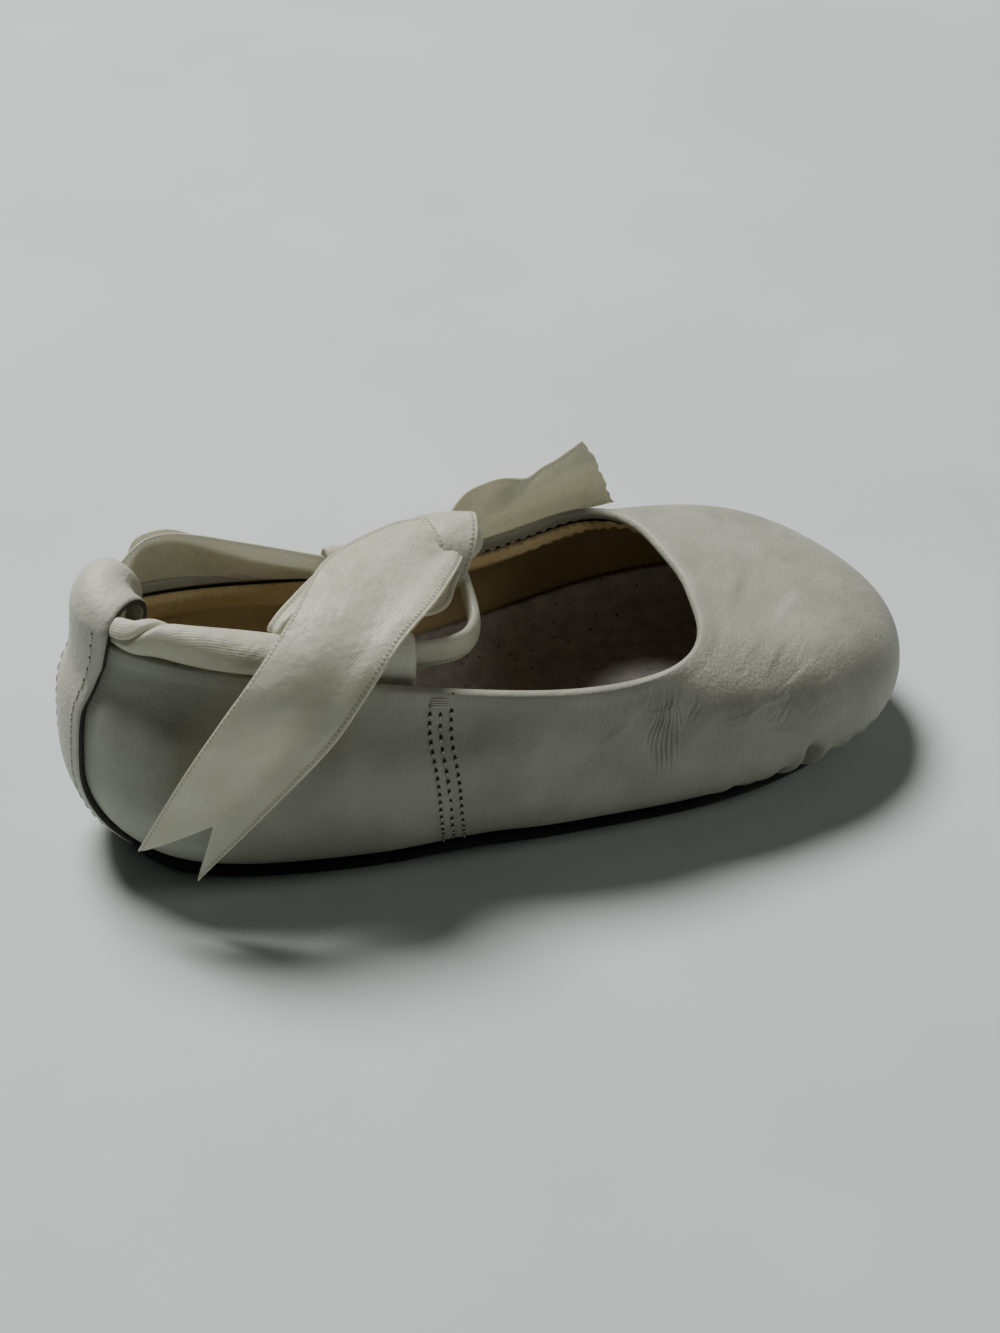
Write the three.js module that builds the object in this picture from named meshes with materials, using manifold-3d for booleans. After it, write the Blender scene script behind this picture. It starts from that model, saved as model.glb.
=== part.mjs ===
// A soft leather mary jane for a small child: turned upper, thin suede sole, ribbon through three loops.
// The toe points to +X, the wearer's left is +Y and the sole stands on z = 0. Sizes are millimetres.
import * as THREE from 'three';
import { mergeVertices } from 'three/addons/utils/BufferGeometryUtils.js';
import Module from 'manifold-3d';

const wasm = await Module();
wasm.setup();

// Driving sizes
const LENGTH = 142;
const BALL_WIDTH = 58;
const COLLAR_HEIGHT = 43.5;
const WALL = 1.4;
const BEAD = 0.25;
const GAP = 0.3;

const SOLE_THICK = 2.2;
const SOLE_MARGIN = 0.6;
const ARCH_RISE = 1.0;
const ARCH_BACK = -26;
const ARCH_FRONT = 6;
const SPRING_START = 18;
const SPRING_RISE = 5.5;
const INSOLE_THICK = 2.2;
const INSOLE_INSET = 2.2;
const DISH_INSET = 5;
const DISH_THICK = 1;
const DISH_HEEL_V = 0.1;
const DISH_TOE_V = 0.27;

const STRIP_THICK = 1.2;
const STRIP_WIDTH = 13.5;
const KEEPER_WIDTH = 7.4;
const KEEPER_THICK = 1.0;
const KEEPER_STATION = 0.175;

const RIBBON_THICK = 0.9;
const TAIL_NOTCH = 0.087;
const KNOT_CENTRE = new THREE.Vector3(-6.8, 0.9, 46.3);
const KNOT_SIZE = new THREE.Vector3(10.5, 8, 9);

// Sections round the shoe. along and topAlong are percent of the length from the heel; near, far and tuck
// percent of the ball width; wideZ and topZ percent of the collar height; lean the fall at the collar in
// degrees. near and far are the widest line on the outer and the inner side of the foot, tuck how far the
// foot line is drawn in from it.
const COLUMNS = ['along', 'near', 'far', 'wideZ', 'tuck', 'topAlong', 'topNear', 'topFar', 'topZ', 'lean'];
const SECTIONS = {
  heel: [0, 0, 0, 48, 15, 2.4, 0, 0, 100, 82],
  heelSide: [5.7, -28, 28.5, 44, 13, 6.9, -16, 14, 97.7, 82],
  quarter: [20, -40.5, 41, 37, 11, 20, -28.5, 20.5, 91, 82],
  seam: [38.5, -45, 44.5, 32, 10.5, 37, -36, 24, 80.5, 80],
  waist: [57, -46.5, 48, 30, 10.5, 53.3, -42.5, 31.5, 74.5, 70],
  ball: [73.3, -46.5, 53, 29.5, 10.5, 65, -39.5, 38, 74, 38],
  toeSide: [88, -40.5, 48, 29.5, 11, 70.8, -26, 30, 73.5, 13],
  toeCorner: [96.5, -26, 27, 31, 12, 72.4, -10.5, 16.5, 73, 4],
  toe: [100, -1.5, -1.5, 32, 14, 73, 2, 2, 72.5, 2],
};

// How far up the wall the widest line lies, and how full the wall is at both ends of its upper curve
const WIDE_V = 0.3;
const FULL_LOW = 0.7;
const FULL_HIGH = 0.52;

// Over the topline each loop is a band that runs up, over and down again: out is measured outward from
// the collar line, up is measured above it
const HEEL_LOOP = [
  { out: 1.2, up: 2.0 },
  { out: 0.8, up: 4.4 },
  { out: -0.9, up: 6.8 },
  { out: -3.8, up: 7.5 },
  { out: -6.6, up: 6.2 },
  { out: -7.8, up: 3.2 },
  { out: -6.4, up: -1.0 },
  { out: -4.0, up: -5.0 },
  { out: -3.2, up: -10.0 },
];
const KEEPER_LOOP = [
  { out: -2.9, up: -6.0 },
  { out: -2.9, up: -2.0 },
  { out: -2.8, up: 2.0 },
  { out: -2.9, up: 5.8 },
  { out: -4.2, up: 7.8 },
  { out: -5.9, up: 6.6 },
  { out: -6.3, up: 2.4 },
  { out: -5.6, up: -1.4 },
  { out: -4.5, up: -6.0 },
];

// The ribbon, folded lengthwise, stands on the topline from the outer side loop round the heel to the inner
const BAND_STATIONS = [
  { at: KEEPER_STATION, out: -4.5, low: 0.9, high: 5.2 },
  { at: 0.135, out: -2.6, low: 0.8, high: 6.0 },
  { at: 0.09, out: -1.2, low: 0.7, high: 7.0 },
  { at: 0.05, out: -2.2, low: 0.7, high: 5.8 },
  { at: 0.0, out: -2.4, low: 0.7, high: 5.8 },
  { at: -0.05, out: -2.3, low: 0.7, high: 5.9 },
  { at: -0.09, out: -1.6, low: 1.2, high: 10.2 },
  { at: -0.135, out: -2.8, low: 1.2, high: 7.6 },
  { at: -KEEPER_STATION, out: -4.5, low: 1.0, high: 4.8 },
];

// Past the side loops its two strands run to the knot. Each row has the ribbon's upper and lower edge.
const NEAR_STRAND = [
  { upper: [-13.6, -15.6, 41.2], lower: [-13.4, -15.6, 36.2] },
  { upper: [-9.0, -12.4, 40.8], lower: [-8.8, -12.4, 35.6] },
  { upper: [-6.6, -8.4, 42.0], lower: [-6.6, -8.2, 37.0] },
  { upper: [-6.8, 0.0, 46.2], lower: [-6.8, 0.0, 43.0] },
];
const FAR_STRAND = [
  { upper: [-14.6, 9.0, 42.6], lower: [-14.6, 9.2, 37.4] },
  { upper: [-8.5, 1.5, 47.0], lower: [-8.5, 1.5, 43.0] },
];
const NEAR_TAIL = [
  { upper: [-12.6, 4.2, 49.6], lower: [-7.2, -2.8, 46.8] },
  { upper: [-19.0, 2.0, 50.8], lower: [-9.8, -7.2, 47.2] },
  { upper: [-30.4, -4.2, 51.0], lower: [-15.4, -14.4, 47.6] },
  { upper: [-38.6, -14.6, 49.4], lower: [-22.8, -20.8, 46.2] },
  { upper: [-46.2, -21.0, 44.8], lower: [-28.6, -24.6, 41.4] },
  { upper: [-52.2, -23.4, 38.8], lower: [-35.6, -26.8, 33.2] },
  { upper: [-58.4, -23.6, 29.4], lower: [-45.2, -27.0, 23.2] },
  { upper: [-65.2, -21.6, 15.0], lower: [-56.8, -25.2, 9.6] },
];
const FAR_TAIL = [
  { upper: [-6.0, 1.6, 49.4], lower: [-5.0, 1.4, 45.0] },
  { upper: [-2.4, 6.6, 48.8], lower: [-3.4, 9.4, 41.0] },
  { upper: [2.4, 11.6, 46.8], lower: [0.4, 17.8, 34.4] },
  { upper: [8.6, 16.2, 45.0], lower: [7.6, 21.2, 30.6] },
  { upper: [15.4, 20.9, 43.8], lower: [17.4, 23.6, 30.4] },
  { upper: [23.8, 27.2, 42.8], lower: [29.9, 25.7, 29.9] },
];
// The bow's loop runs out from the knot, turns over and comes back under itself
const BOW_LOOP = [
  { upper: [-9.0, 2.2, 46.8], lower: [-7.6, -2.4, 44.8] },
  { upper: [-17.0, 1.6, 47.8], lower: [-9.9, -7.6, 45.0] },
  { upper: [-28.0, -1.0, 48.4], lower: [-15.6, -14.6, 45.4] },
  { upper: [-37.6, -8.2, 47.4], lower: [-30.4, -13.0, 45.6] },
  { upper: [-41.4, -11.2, 45.4], lower: [-36.6, -13.2, 44.0] },
  { upper: [-37.6, -8.4, 43.4], lower: [-30.6, -12.6, 42.2] },
  { upper: [-27.6, -1.4, 43.2], lower: [-19.0, -10.4, 41.2] },
  { upper: [-17.0, 1.0, 43.4], lower: [-13.0, -5.2, 41.4] },
  { upper: [-9.0, 1.0, 44.2], lower: [-8.0, -0.6, 42.9] },
];

// Mesh steps: pairs of points along the sole, round and up the upper, along each band
const SOLE_PAIRS = 34;
const INSOLE_PAIRS = 36;
const DISH_ROWS = 3;
const UPPER_AROUND = 72;
const UPPER_ROWS = 14;
const STRIP_STEPS = 40;
const KEEPER_STEPS = 22;
const BAND_STEPS = 72;
const BAND_ROWS = 26;
const TAIL_STEPS = 24;
const LOOP_STEPS = 36;

// Colours and finishes
const FINISH = {
  leather: { color: 0xe4e1d4, roughness: 0.5, metalness: 0 },
  suede: { color: 0x4a4a48, roughness: 0.95, metalness: 0 },
  footbed: { color: 0x8f857d, roughness: 0.9, metalness: 0 },
  satin: { color: 0xe6e1cf, roughness: 0.4, metalness: 0 },
};

// Every column of the section table as a closed smooth curve: heel, outer side, toe, inner side
function readSections() {
  const rows = Object.values(SECTIONS).map((row) => {
    const section = Object.fromEntries(COLUMNS.map((column, i) => [column, row[i]]));
    return {
      x: (section.along / 100 - 0.5) * LENGTH,
      near: section.near / 100 * BALL_WIDTH,
      far: section.far / 100 * BALL_WIDTH,
      wideZ: section.wideZ / 100 * COLLAR_HEIGHT,
      tuck: section.tuck / 100 * BALL_WIDTH,
      topX: (section.topAlong / 100 - 0.5) * LENGTH,
      topNear: section.topNear / 100 * BALL_WIDTH,
      topFar: section.topFar / 100 * BALL_WIDTH,
      topZ: section.topZ / 100 * COLLAR_HEIGHT,
      lean: THREE.MathUtils.degToRad(section.lean),
    };
  });
  const outer = rows.map((r) => [r.x, r.near, r.wideZ, r.tuck, r.topX, r.topNear, r.topZ, r.lean]);
  const inner = rows.map((r) => [r.x, r.far, r.wideZ, r.tuck, r.topX, r.topFar, r.topZ, r.lean]);
  return outer.concat(inner.slice(1, -1).reverse());
}

function closedCurve(rows) {
  const count = rows.length;
  const wrap = (i) => (i + count) % count;
  const bend = rows.map((row) => row.map(() => 0));
  for (let sweep = 0; sweep < 60; sweep++) {
    rows.forEach((row, i) => row.forEach((value, k) => {
      const pull = 6 * (rows[wrap(i - 1)][k] - 2 * value + rows[wrap(i + 1)][k]);
      bend[i][k] = (pull - bend[wrap(i - 1)][k] - bend[wrap(i + 1)][k]) / 4;
    }));
  }
  return (u) => {
    const place = (u - Math.floor(u)) * count;
    const i = Math.floor(place) % count;
    const j = wrap(i + 1);
    const t = place - Math.floor(place);
    const s = 1 - t;
    return rows[i].map((value, k) => s * value + t * rows[j][k]
      + ((s ** 3 - s) * bend[i][k] + (t ** 3 - t) * bend[j][k]) / 6);
  };
}

const sectionAt = closedCurve(readSections());

// The sole's underside: flat at the heel and under the ball, an arch between them, sprung at the toe
function soleBottom(x) {
  const arch = THREE.MathUtils.clamp((x - ARCH_BACK) / (ARCH_FRONT - ARCH_BACK), 0, 1);
  const spring = Math.max(0, (x - SPRING_START) / (LENGTH / 2 - SPRING_START));
  return ARCH_RISE * Math.sin(Math.PI * arch) ** 2 + SPRING_RISE * spring ** 2;
}

const footZ = (x) => soleBottom(x) + SOLE_THICK + GAP;

function planNormal(u) {
  const step = 1e-3;
  const a = sectionAt(u - step);
  const b = sectionAt(u + step);
  return new THREE.Vector2(b[1] - a[1], a[0] - b[0]).normalize();
}

// The upper's outer surface: u runs round the shoe from the heel, v from the foot line up to the collar
function surface(u, v) {
  const [x, y, wideZ, tuck, topX, topY, topZ, lean] = sectionAt(u);
  const normal = planNormal(u);
  const wide = new THREE.Vector3(x, y, wideZ);
  if (v < WIDE_V) {
    const foot = new THREE.Vector3(x - normal.x * tuck, y - normal.y * tuck, 0);
    foot.z = footZ(foot.x);
    const angle = Math.PI / 4 * (1 + Math.max(v, -0.05) / WIDE_V);
    const spread = (Math.sin(angle) - Math.SQRT1_2) / (1 - Math.SQRT1_2);
    const rise = 1 - Math.cos(angle) / Math.SQRT1_2;
    return new THREE.Vector3(
      foot.x + (wide.x - foot.x) * spread,
      foot.y + (wide.y - foot.y) * spread,
      foot.z + (wide.z - foot.z) * rise,
    );
  }
  const top = new THREE.Vector3(topX, topY, topZ);
  const back = new THREE.Vector3(wide.x - top.x, wide.y - top.y, 0).normalize();
  const low = wide.clone().setZ(wide.z + FULL_LOW * (top.z - wide.z));
  const reach = FULL_HIGH * wide.distanceTo(top);
  const high = top.clone().addScaledVector(back, reach * Math.cos(lean));
  high.z -= reach * Math.sin(lean);
  return new THREE.CubicBezierCurve3(wide, low, high, top).getPoint((v - WIDE_V) / (1 - WIDE_V));
}

function surfaceNormal(u, v) {
  const step = 1e-3;
  const around = surface(u + step, v).sub(surface(u - step, v));
  const up = surface(u, Math.min(v + step, 1)).sub(surface(u, Math.max(v - step, 0)));
  return around.cross(up).normalize();
}

const offsetSurface = (u, v, distance) => surface(u, v).addScaledVector(surfaceNormal(u, v), distance);

function plainMesh(name, geometry, finish) {
  const mesh = new THREE.Mesh(geometry, new THREE.MeshStandardMaterial(finish));
  mesh.name = name;
  return mesh;
}

// A closed mesh with its faces turned outward
function triangles(points, faces) {
  const part = ([a, b, c]) => points[a].clone().cross(points[b]).dot(points[c]);
  const volume = faces.reduce((sum, face) => sum + part(face), 0);
  const outward = volume > 0 ? faces : faces.map(([a, b, c]) => [a, c, b]);
  const places = points.flatMap((p) => p.toArray());
  const geometry = new THREE.BufferGeometry();
  geometry.setAttribute('position', new THREE.Float32BufferAttribute(places, 3));
  geometry.setIndex(outward.flat());
  geometry.computeVertexNormals();
  return geometry;
}

// A closed wall between an outer and an inner surface that both run round the shoe
function ringWall(outer, inner, around, up) {
  const points = [];
  const faces = [];
  const rows = 2 * (up + 1);
  for (let i = 0; i < around; i++) {
    for (let j = 0; j <= up; j++) points.push(outer(i / around, j / up));
    for (let j = up; j >= 0; j--) points.push(inner(i / around, j / up));
  }
  for (let i = 0; i < around; i++) {
    for (let j = 0; j < rows; j++) {
      const a = i * rows + j;
      const b = (i + 1) % around * rows + j;
      const c = (i + 1) % around * rows + (j + 1) % rows;
      const d = i * rows + (j + 1) % rows;
      faces.push([a, b, c], [a, c, d]);
    }
  }
  return triangles(points, faces);
}

// A closed sheet of even thickness: face(s, w, side) is its surface, side = 0 below and 1 above
function slab(face, along, across) {
  const points = [];
  const faces = [];
  const ring = 2 * (across + 1);
  for (let i = 0; i <= along; i++) {
    for (let j = 0; j <= across; j++) points.push(face(i / along, j / across, 0));
    for (let j = across; j >= 0; j--) points.push(face(i / along, j / across, 1));
  }
  for (let i = 0; i < along; i++) {
    for (let j = 0; j < ring; j++) {
      const a = i * ring + j;
      const b = i * ring + (j + 1) % ring;
      faces.push([a, b, b + ring], [a, b + ring, a + ring]);
    }
  }
  for (let j = 0; j < across; j++) {
    const k = ring - 1 - j;
    const last = along * ring;
    faces.push([j, k, k - 1], [j, k - 1, j + 1]);
    faces.push([last + j, last + k - 1, last + k], [last + j, last + j + 1, last + k - 1]);
  }
  return triangles(points, faces);
}

// A closed plate or dish: rings round the shoe from its underside out and over to its top face
function plate(rings, pairs) {
  const count = 2 * pairs;
  const points = rings.flatMap((ring) => Array.from({ length: count }, (_, i) => ring(i / count)));
  const top = points.length - count;
  const faces = [];
  for (let row = 0; row < top; row += count) {
    for (let i = 0; i < count; i++) {
      const j = (i + 1) % count;
      faces.push([row + i, row + j, row + j + count], [row + i, row + j + count, row + i + count]);
    }
  }
  for (let i = 0; i < pairs; i++) {
    const near = [i, i + 1];
    const far = [(count - i) % count, count - i - 1];
    const strips = [[near[0], far[1], near[1]], [near[0], far[0], far[1]]];
    strips.filter((t) => new Set(t).size === 3).forEach(([a, b, c]) => {
      faces.push([a, b, c], [a + top, c + top, b + top]);
    });
  }
  return triangles(points, faces);
}

function asManifold(geometry) {
  const bare = geometry.clone();
  bare.deleteAttribute('normal');
  bare.deleteAttribute('uv');
  const merged = mergeVertices(bare);
  return new wasm.Manifold(new wasm.Mesh({
    numProp: 3,
    vertProperties: new Float32Array(merged.attributes.position.array),
    triVerts: new Uint32Array(merged.index.array),
  }));
}

function fromManifold(solid) {
  const mesh = solid.getMesh();
  const geometry = new THREE.BufferGeometry();
  geometry.setAttribute('position', new THREE.BufferAttribute(mesh.vertProperties, 3));
  geometry.setIndex(new THREE.BufferAttribute(mesh.triVerts, 1));
  geometry.computeVertexNormals();
  return geometry;
}

// Foot line of the upper in plan, moved outward by a margin and set at a height above the ground
function footRing(margin, height) {
  return (u) => {
    const foot = surface(u, 0);
    const normal = planNormal(u);
    const spot = new THREE.Vector3(foot.x + normal.x * margin, foot.y + normal.y * margin, 0);
    return spot.setZ(height(spot.x));
  };
}

function outsole() {
  const rings = [
    footRing(SOLE_MARGIN, soleBottom),
    footRing(SOLE_MARGIN, (x) => soleBottom(x) + SOLE_THICK),
  ];
  return plainMesh('outsole', plate(rings, SOLE_PAIRS), FINISH.suede);
}

// Suede footbed, turned up along the wall: low round the heel and higher from the waist forward
function insole() {
  const dishStart = 0.08;
  const waist = 0.12;
  const forefoot = 0.3;
  const rim = (u) => {
    const forward = THREE.MathUtils.smoothstep(0.5 - Math.abs(u - 0.5), waist, forefoot);
    return THREE.MathUtils.lerp(DISH_HEEL_V, DISH_TOE_V, forward);
  };
  const wall = (start, share, depth) => (u) => (
    offsetSurface(u, THREE.MathUtils.lerp(start, rim(u), share), -WALL - GAP - depth)
  );
  const rings = [footRing(-INSOLE_INSET, footZ)];
  for (let i = 0; i <= DISH_ROWS; i++) rings.push(wall(0, i / DISH_ROWS, 0));
  for (let i = DISH_ROWS; i >= 0; i--) rings.push(wall(dishStart, i / DISH_ROWS, DISH_THICK));
  rings.push(footRing(-DISH_INSET, (x) => footZ(x) + INSOLE_THICK));
  return plainMesh('insole', plate(rings, INSOLE_PAIRS), FINISH.footbed);
}

// Turned leather upper: one hollow wall with a rolled bead along the collar
function upper() {
  const beadStart = 0.9;
  const beadFull = 0.97;
  const bead = (v) => BEAD * THREE.MathUtils.smoothstep(v, beadStart, beadFull);
  const outer = (u, v) => offsetSurface(u, v, bead(v));
  const inner = (u, v) => offsetSurface(u, v, -WALL - bead(v));
  return plainMesh('upper', ringWall(outer, inner, UPPER_AROUND, UPPER_ROWS), FINISH.leather);
}

// Stations either side of u that stand apart by a width along the collar
function stationsAcross(u, width, v) {
  const step = 1e-3;
  const pace = surface(u + step, v).distanceTo(surface(u - step, v)) / (2 * step);
  return (w) => u + (w - 0.5) * width / pace;
}

// The two sides of a bent band: the curve of its middle in (out, up) over the collar at each station
function bandOverCollar(profile, stations, thickness) {
  const curve = new THREE.CatmullRomCurve3(profile.map((p) => new THREE.Vector3(p.out, p.up, 0)));
  return (s, w, side) => {
    const u = stations(w);
    const spot = curve.getPoint(s);
    const tangent = curve.getTangent(s);
    const shift = (side - 0.5) * thickness;
    const collar = surface(u, 1);
    const normal = planNormal(u);
    const out = spot.x + tangent.y * shift;
    return new THREE.Vector3(
      collar.x + normal.x * out,
      collar.y + normal.y * out,
      collar.z + spot.y - tangent.x * shift,
    );
  };
}

// Back strip up the heel, which turns over the topline as a loop for the ribbon and ends inside
function heelStrip() {
  const foot = 0.03;
  const ease = 0.8;
  const rim = 0.93;
  const turn = 0.6;
  const loop = bandOverCollar(HEEL_LOOP, stationsAcross(0, STRIP_WIDTH, 1), STRIP_THICK);
  const face = (s, w, side) => {
    if (s > turn) return loop((s - turn) / (1 - turn), w, side);
    const v = foot + (rim - foot) * s / turn;
    const lift = GAP + BEAD * THREE.MathUtils.smoothstep(v, ease, rim) + side * STRIP_THICK;
    return offsetSurface(stationsAcross(0, STRIP_WIDTH, v)(w), v, lift);
  };
  return plainMesh('heel_strip', slab(face, STRIP_STEPS, 6), FINISH.leather);
}

function sideLoop(name, u) {
  const face = bandOverCollar(KEEPER_LOOP, stationsAcross(u, KEEPER_WIDTH, 1), KEEPER_THICK);
  return plainMesh(name, slab(face, KEEPER_STEPS, 3), FINISH.leather);
}

// A sheet of ribbon between its two edges, cut to a swallow tail where a share of its length is notched
function ribbonSheet(rows, steps, notch = 0) {
  const edge = (key) => new THREE.CatmullRomCurve3(rows.map((row) => new THREE.Vector3(...row[key])));
  const upperEdge = edge('upper');
  const lowerEdge = edge('lower');
  const middle = (s, w) => upperEdge.getPoint(s).lerp(lowerEdge.getPoint(s), w);
  const normal = (s, w) => {
    const step = 1e-3;
    const ahead = middle(Math.min(s + step, 1), w).sub(middle(Math.max(s - step, 0), w));
    return ahead.cross(middle(s, 1).sub(middle(s, 0))).normalize();
  };
  return slab((s, w, side) => {
    const place = s * (1 - notch * (1 - Math.abs(2 * w - 1)));
    return middle(place, w).addScaledVector(normal(place, w), (side - 0.5) * RIBBON_THICK);
  }, steps, notch ? 4 : 3);
}

// Rows of the ribbon where it stands on the topline, from one side loop round the heel to the other
function bandRows() {
  const smooth = (spot) => new THREE.CatmullRomCurve3(BAND_STATIONS.map(spot), false, 'catmullrom');
  const place = smooth((p) => new THREE.Vector3(p.at, p.out, 0));
  const edges = smooth((p) => new THREE.Vector3(p.low, p.high, 0));
  const rows = [];
  for (let i = 0; i <= BAND_ROWS; i++) {
    const { x: u, y: out } = place.getPoint(i / BAND_ROWS);
    const { x: low, y: high } = edges.getPoint(i / BAND_ROWS);
    const collar = surface(u, 1);
    const normal = planNormal(u);
    const edge = (up) => [collar.x + normal.x * out, collar.y + normal.y * out, collar.z + up];
    rows.push({ upper: edge(high), lower: edge(low) });
  }
  return rows;
}

function knotShape(grow) {
  const shape = new THREE.IcosahedronGeometry(0.5, 4);
  shape.scale(KNOT_SIZE.x + 2 * grow, KNOT_SIZE.y + 2 * grow, KNOT_SIZE.z + 2 * grow);
  shape.translate(KNOT_CENTRE.x, KNOT_CENTRE.y, KNOT_CENTRE.z);
  return shape;
}

// A strand of ribbon that stops just short of the knot
function strand(name, rows, steps, notch) {
  const cut = asManifold(ribbonSheet(rows, steps, notch)).subtract(asManifold(knotShape(GAP)));
  return plainMesh(name, fromManifold(cut), FINISH.satin);
}

function ribbonKnot() {
  return plainMesh('ribbon_knot', fromManifold(asManifold(knotShape(0))), FINISH.satin);
}

// The shoe proper stands on the origin; the knot, its loop and its ends hang from it
const shoe = new THREE.Group();
shoe.add(outsole());
shoe.add(insole());
shoe.add(upper());
shoe.add(heelStrip());
shoe.add(sideLoop('side_loop_outer', KEEPER_STATION));
shoe.add(sideLoop('side_loop_inner', -KEEPER_STATION));
shoe.add(strand('ribbon_band', [...NEAR_STRAND].reverse().concat(bandRows(), FAR_STRAND), BAND_STEPS));
const box = new THREE.Box3().setFromObject(shoe, true);
const centre = box.getCenter(new THREE.Vector3());
shoe.position.set(-centre.x, -centre.y, -box.min.z);
shoe.add(ribbonKnot());
shoe.add(strand('ribbon_tail_outer', NEAR_TAIL, TAIL_STEPS, TAIL_NOTCH));
shoe.add(strand('ribbon_tail_inner', FAR_TAIL, TAIL_STEPS));
shoe.add(strand('ribbon_bow_loop', BOW_LOOP, LOOP_STEPS));

export default shoe;
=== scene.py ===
import math

import bmesh
import bpy
import numpy as np
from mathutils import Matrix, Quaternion, Vector


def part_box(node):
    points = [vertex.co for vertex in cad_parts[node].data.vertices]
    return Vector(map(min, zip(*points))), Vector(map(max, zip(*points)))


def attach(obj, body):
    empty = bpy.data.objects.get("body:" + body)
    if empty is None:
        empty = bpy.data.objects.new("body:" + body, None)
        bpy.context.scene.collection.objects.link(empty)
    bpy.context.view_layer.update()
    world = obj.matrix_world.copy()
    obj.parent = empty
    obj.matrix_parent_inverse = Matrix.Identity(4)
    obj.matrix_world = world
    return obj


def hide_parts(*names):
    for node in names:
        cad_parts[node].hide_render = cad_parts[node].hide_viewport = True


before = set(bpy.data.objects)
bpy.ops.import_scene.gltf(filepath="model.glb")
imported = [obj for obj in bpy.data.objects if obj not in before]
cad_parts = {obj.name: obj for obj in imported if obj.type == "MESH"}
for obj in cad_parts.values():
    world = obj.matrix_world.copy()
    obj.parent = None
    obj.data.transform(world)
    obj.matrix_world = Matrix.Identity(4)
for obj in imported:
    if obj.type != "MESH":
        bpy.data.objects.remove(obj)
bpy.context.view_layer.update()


# The last: a small right foot, 142 mm long, as the leather is drawn over it. Nothing is made here
# but the form that every piece below is cut to: toe at +X, outer side at -Y, sole on z = 0.
MM = 0.001
LENGTH, BALL_WIDTH, COLLAR_HEIGHT = 142.0, 58.0, 43.5
WALL, GAP, SOLE_THICK = 1.4, 0.3, 2.2
ARCH_RISE, ARCH_BACK, ARCH_FRONT = 1.0, -26.0, 6.0
SPRING_START, SPRING_RISE = 18.0, 5.5
WIDE_V, FULL_LOW, FULL_HIGH = 0.3, 0.7, 0.52
KNOT_CENTRE = np.array([-6.8, 0.9, 46.3])
SLOPE_STEP = 1e-3

# along, near, far, wide_z, tuck, top_along, top_near, top_far, top_z in percent, lean in degrees
SECTIONS = {
    "heel": (0, 0, 0, 48, 15, 2.4, 0, 0, 100, 82),
    "heel side": (5.7, -28, 28.5, 44, 13, 6.9, -16, 14, 97.7, 82),
    "quarter": (20, -40.5, 41, 37, 11, 20, -28.5, 20.5, 91, 82),
    "seam": (38.5, -45, 44.5, 32, 10.5, 37, -36, 24, 80.5, 80),
    "waist": (57, -46.5, 48, 30, 10.5, 53.3, -42.5, 31.5, 74.5, 70),
    "ball": (73.3, -46.5, 53, 29.5, 10.5, 65, -39.5, 38, 74, 38),
    "toe side": (88, -40.5, 48, 29.5, 11, 70.8, -26, 30, 73.5, 13),
    "toe corner": (96.5, -26, 27, 31, 12, 72.4, -10.5, 16.5, 73, 4),
    "toe": (100, -1.5, -1.5, 32, 14, 73, 2, 2, 72.5, 2),
}
lowest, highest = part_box("ribbon_knot")
SHIFT = np.array((lowest + highest) / 2) / MM - KNOT_CENTRE


def last_rows():
    """The sections in millimetres: from the heel along the outer side to the toe, back along the inner."""
    columns = np.array(list(SECTIONS.values())).T / 100
    along, near, far, wide_z, tuck, top_along, top_near, top_far, top_z, lean = columns

    def side(wide_y, top_y):
        wide = (along - 0.5) * LENGTH, wide_y * BALL_WIDTH, wide_z * COLLAR_HEIGHT, tuck * BALL_WIDTH
        top = (top_along - 0.5) * LENGTH, top_y * BALL_WIDTH, top_z * COLLAR_HEIGHT, np.radians(lean * 100)
        return np.column_stack(wide + top)

    return np.concatenate([side(near, top_near), side(far, top_far)[-2:0:-1]])


ROWS = last_rows()
count = len(ROWS)
neighbours = 4 * np.eye(count) + np.roll(np.eye(count), 1, 0) + np.roll(np.eye(count), -1, 0)
BENDS = np.linalg.solve(neighbours, 6 * (np.roll(ROWS, 1, 0) - 2 * ROWS + np.roll(ROWS, -1, 0)))


def section_at(u):
    """The section at station u, on a smooth closed curve through the rows."""
    place = (np.asarray(u, float) % 1) * count
    i = np.floor(place).astype(int) % count
    j = (i + 1) % count
    t = (place - np.floor(place))[..., None]
    s = 1 - t
    return s * ROWS[i] + t * ROWS[j] + ((s**3 - s) * BENDS[i] + (t**3 - t) * BENDS[j]) / 6


def sole_bottom(x):
    arch = np.clip((x - ARCH_BACK) / (ARCH_FRONT - ARCH_BACK), 0, 1)
    spring = np.maximum(0, (x - SPRING_START) / (LENGTH / 2 - SPRING_START))
    return ARCH_RISE * np.sin(math.pi * arch) ** 2 + SPRING_RISE * spring**2


def plan_normal(u):
    ahead = section_at(u + SLOPE_STEP)[..., :2] - section_at(u - SLOPE_STEP)[..., :2]
    out = np.stack([ahead[..., 1], -ahead[..., 0]], -1)
    return out / np.linalg.norm(out, axis=-1, keepdims=True)


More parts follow.
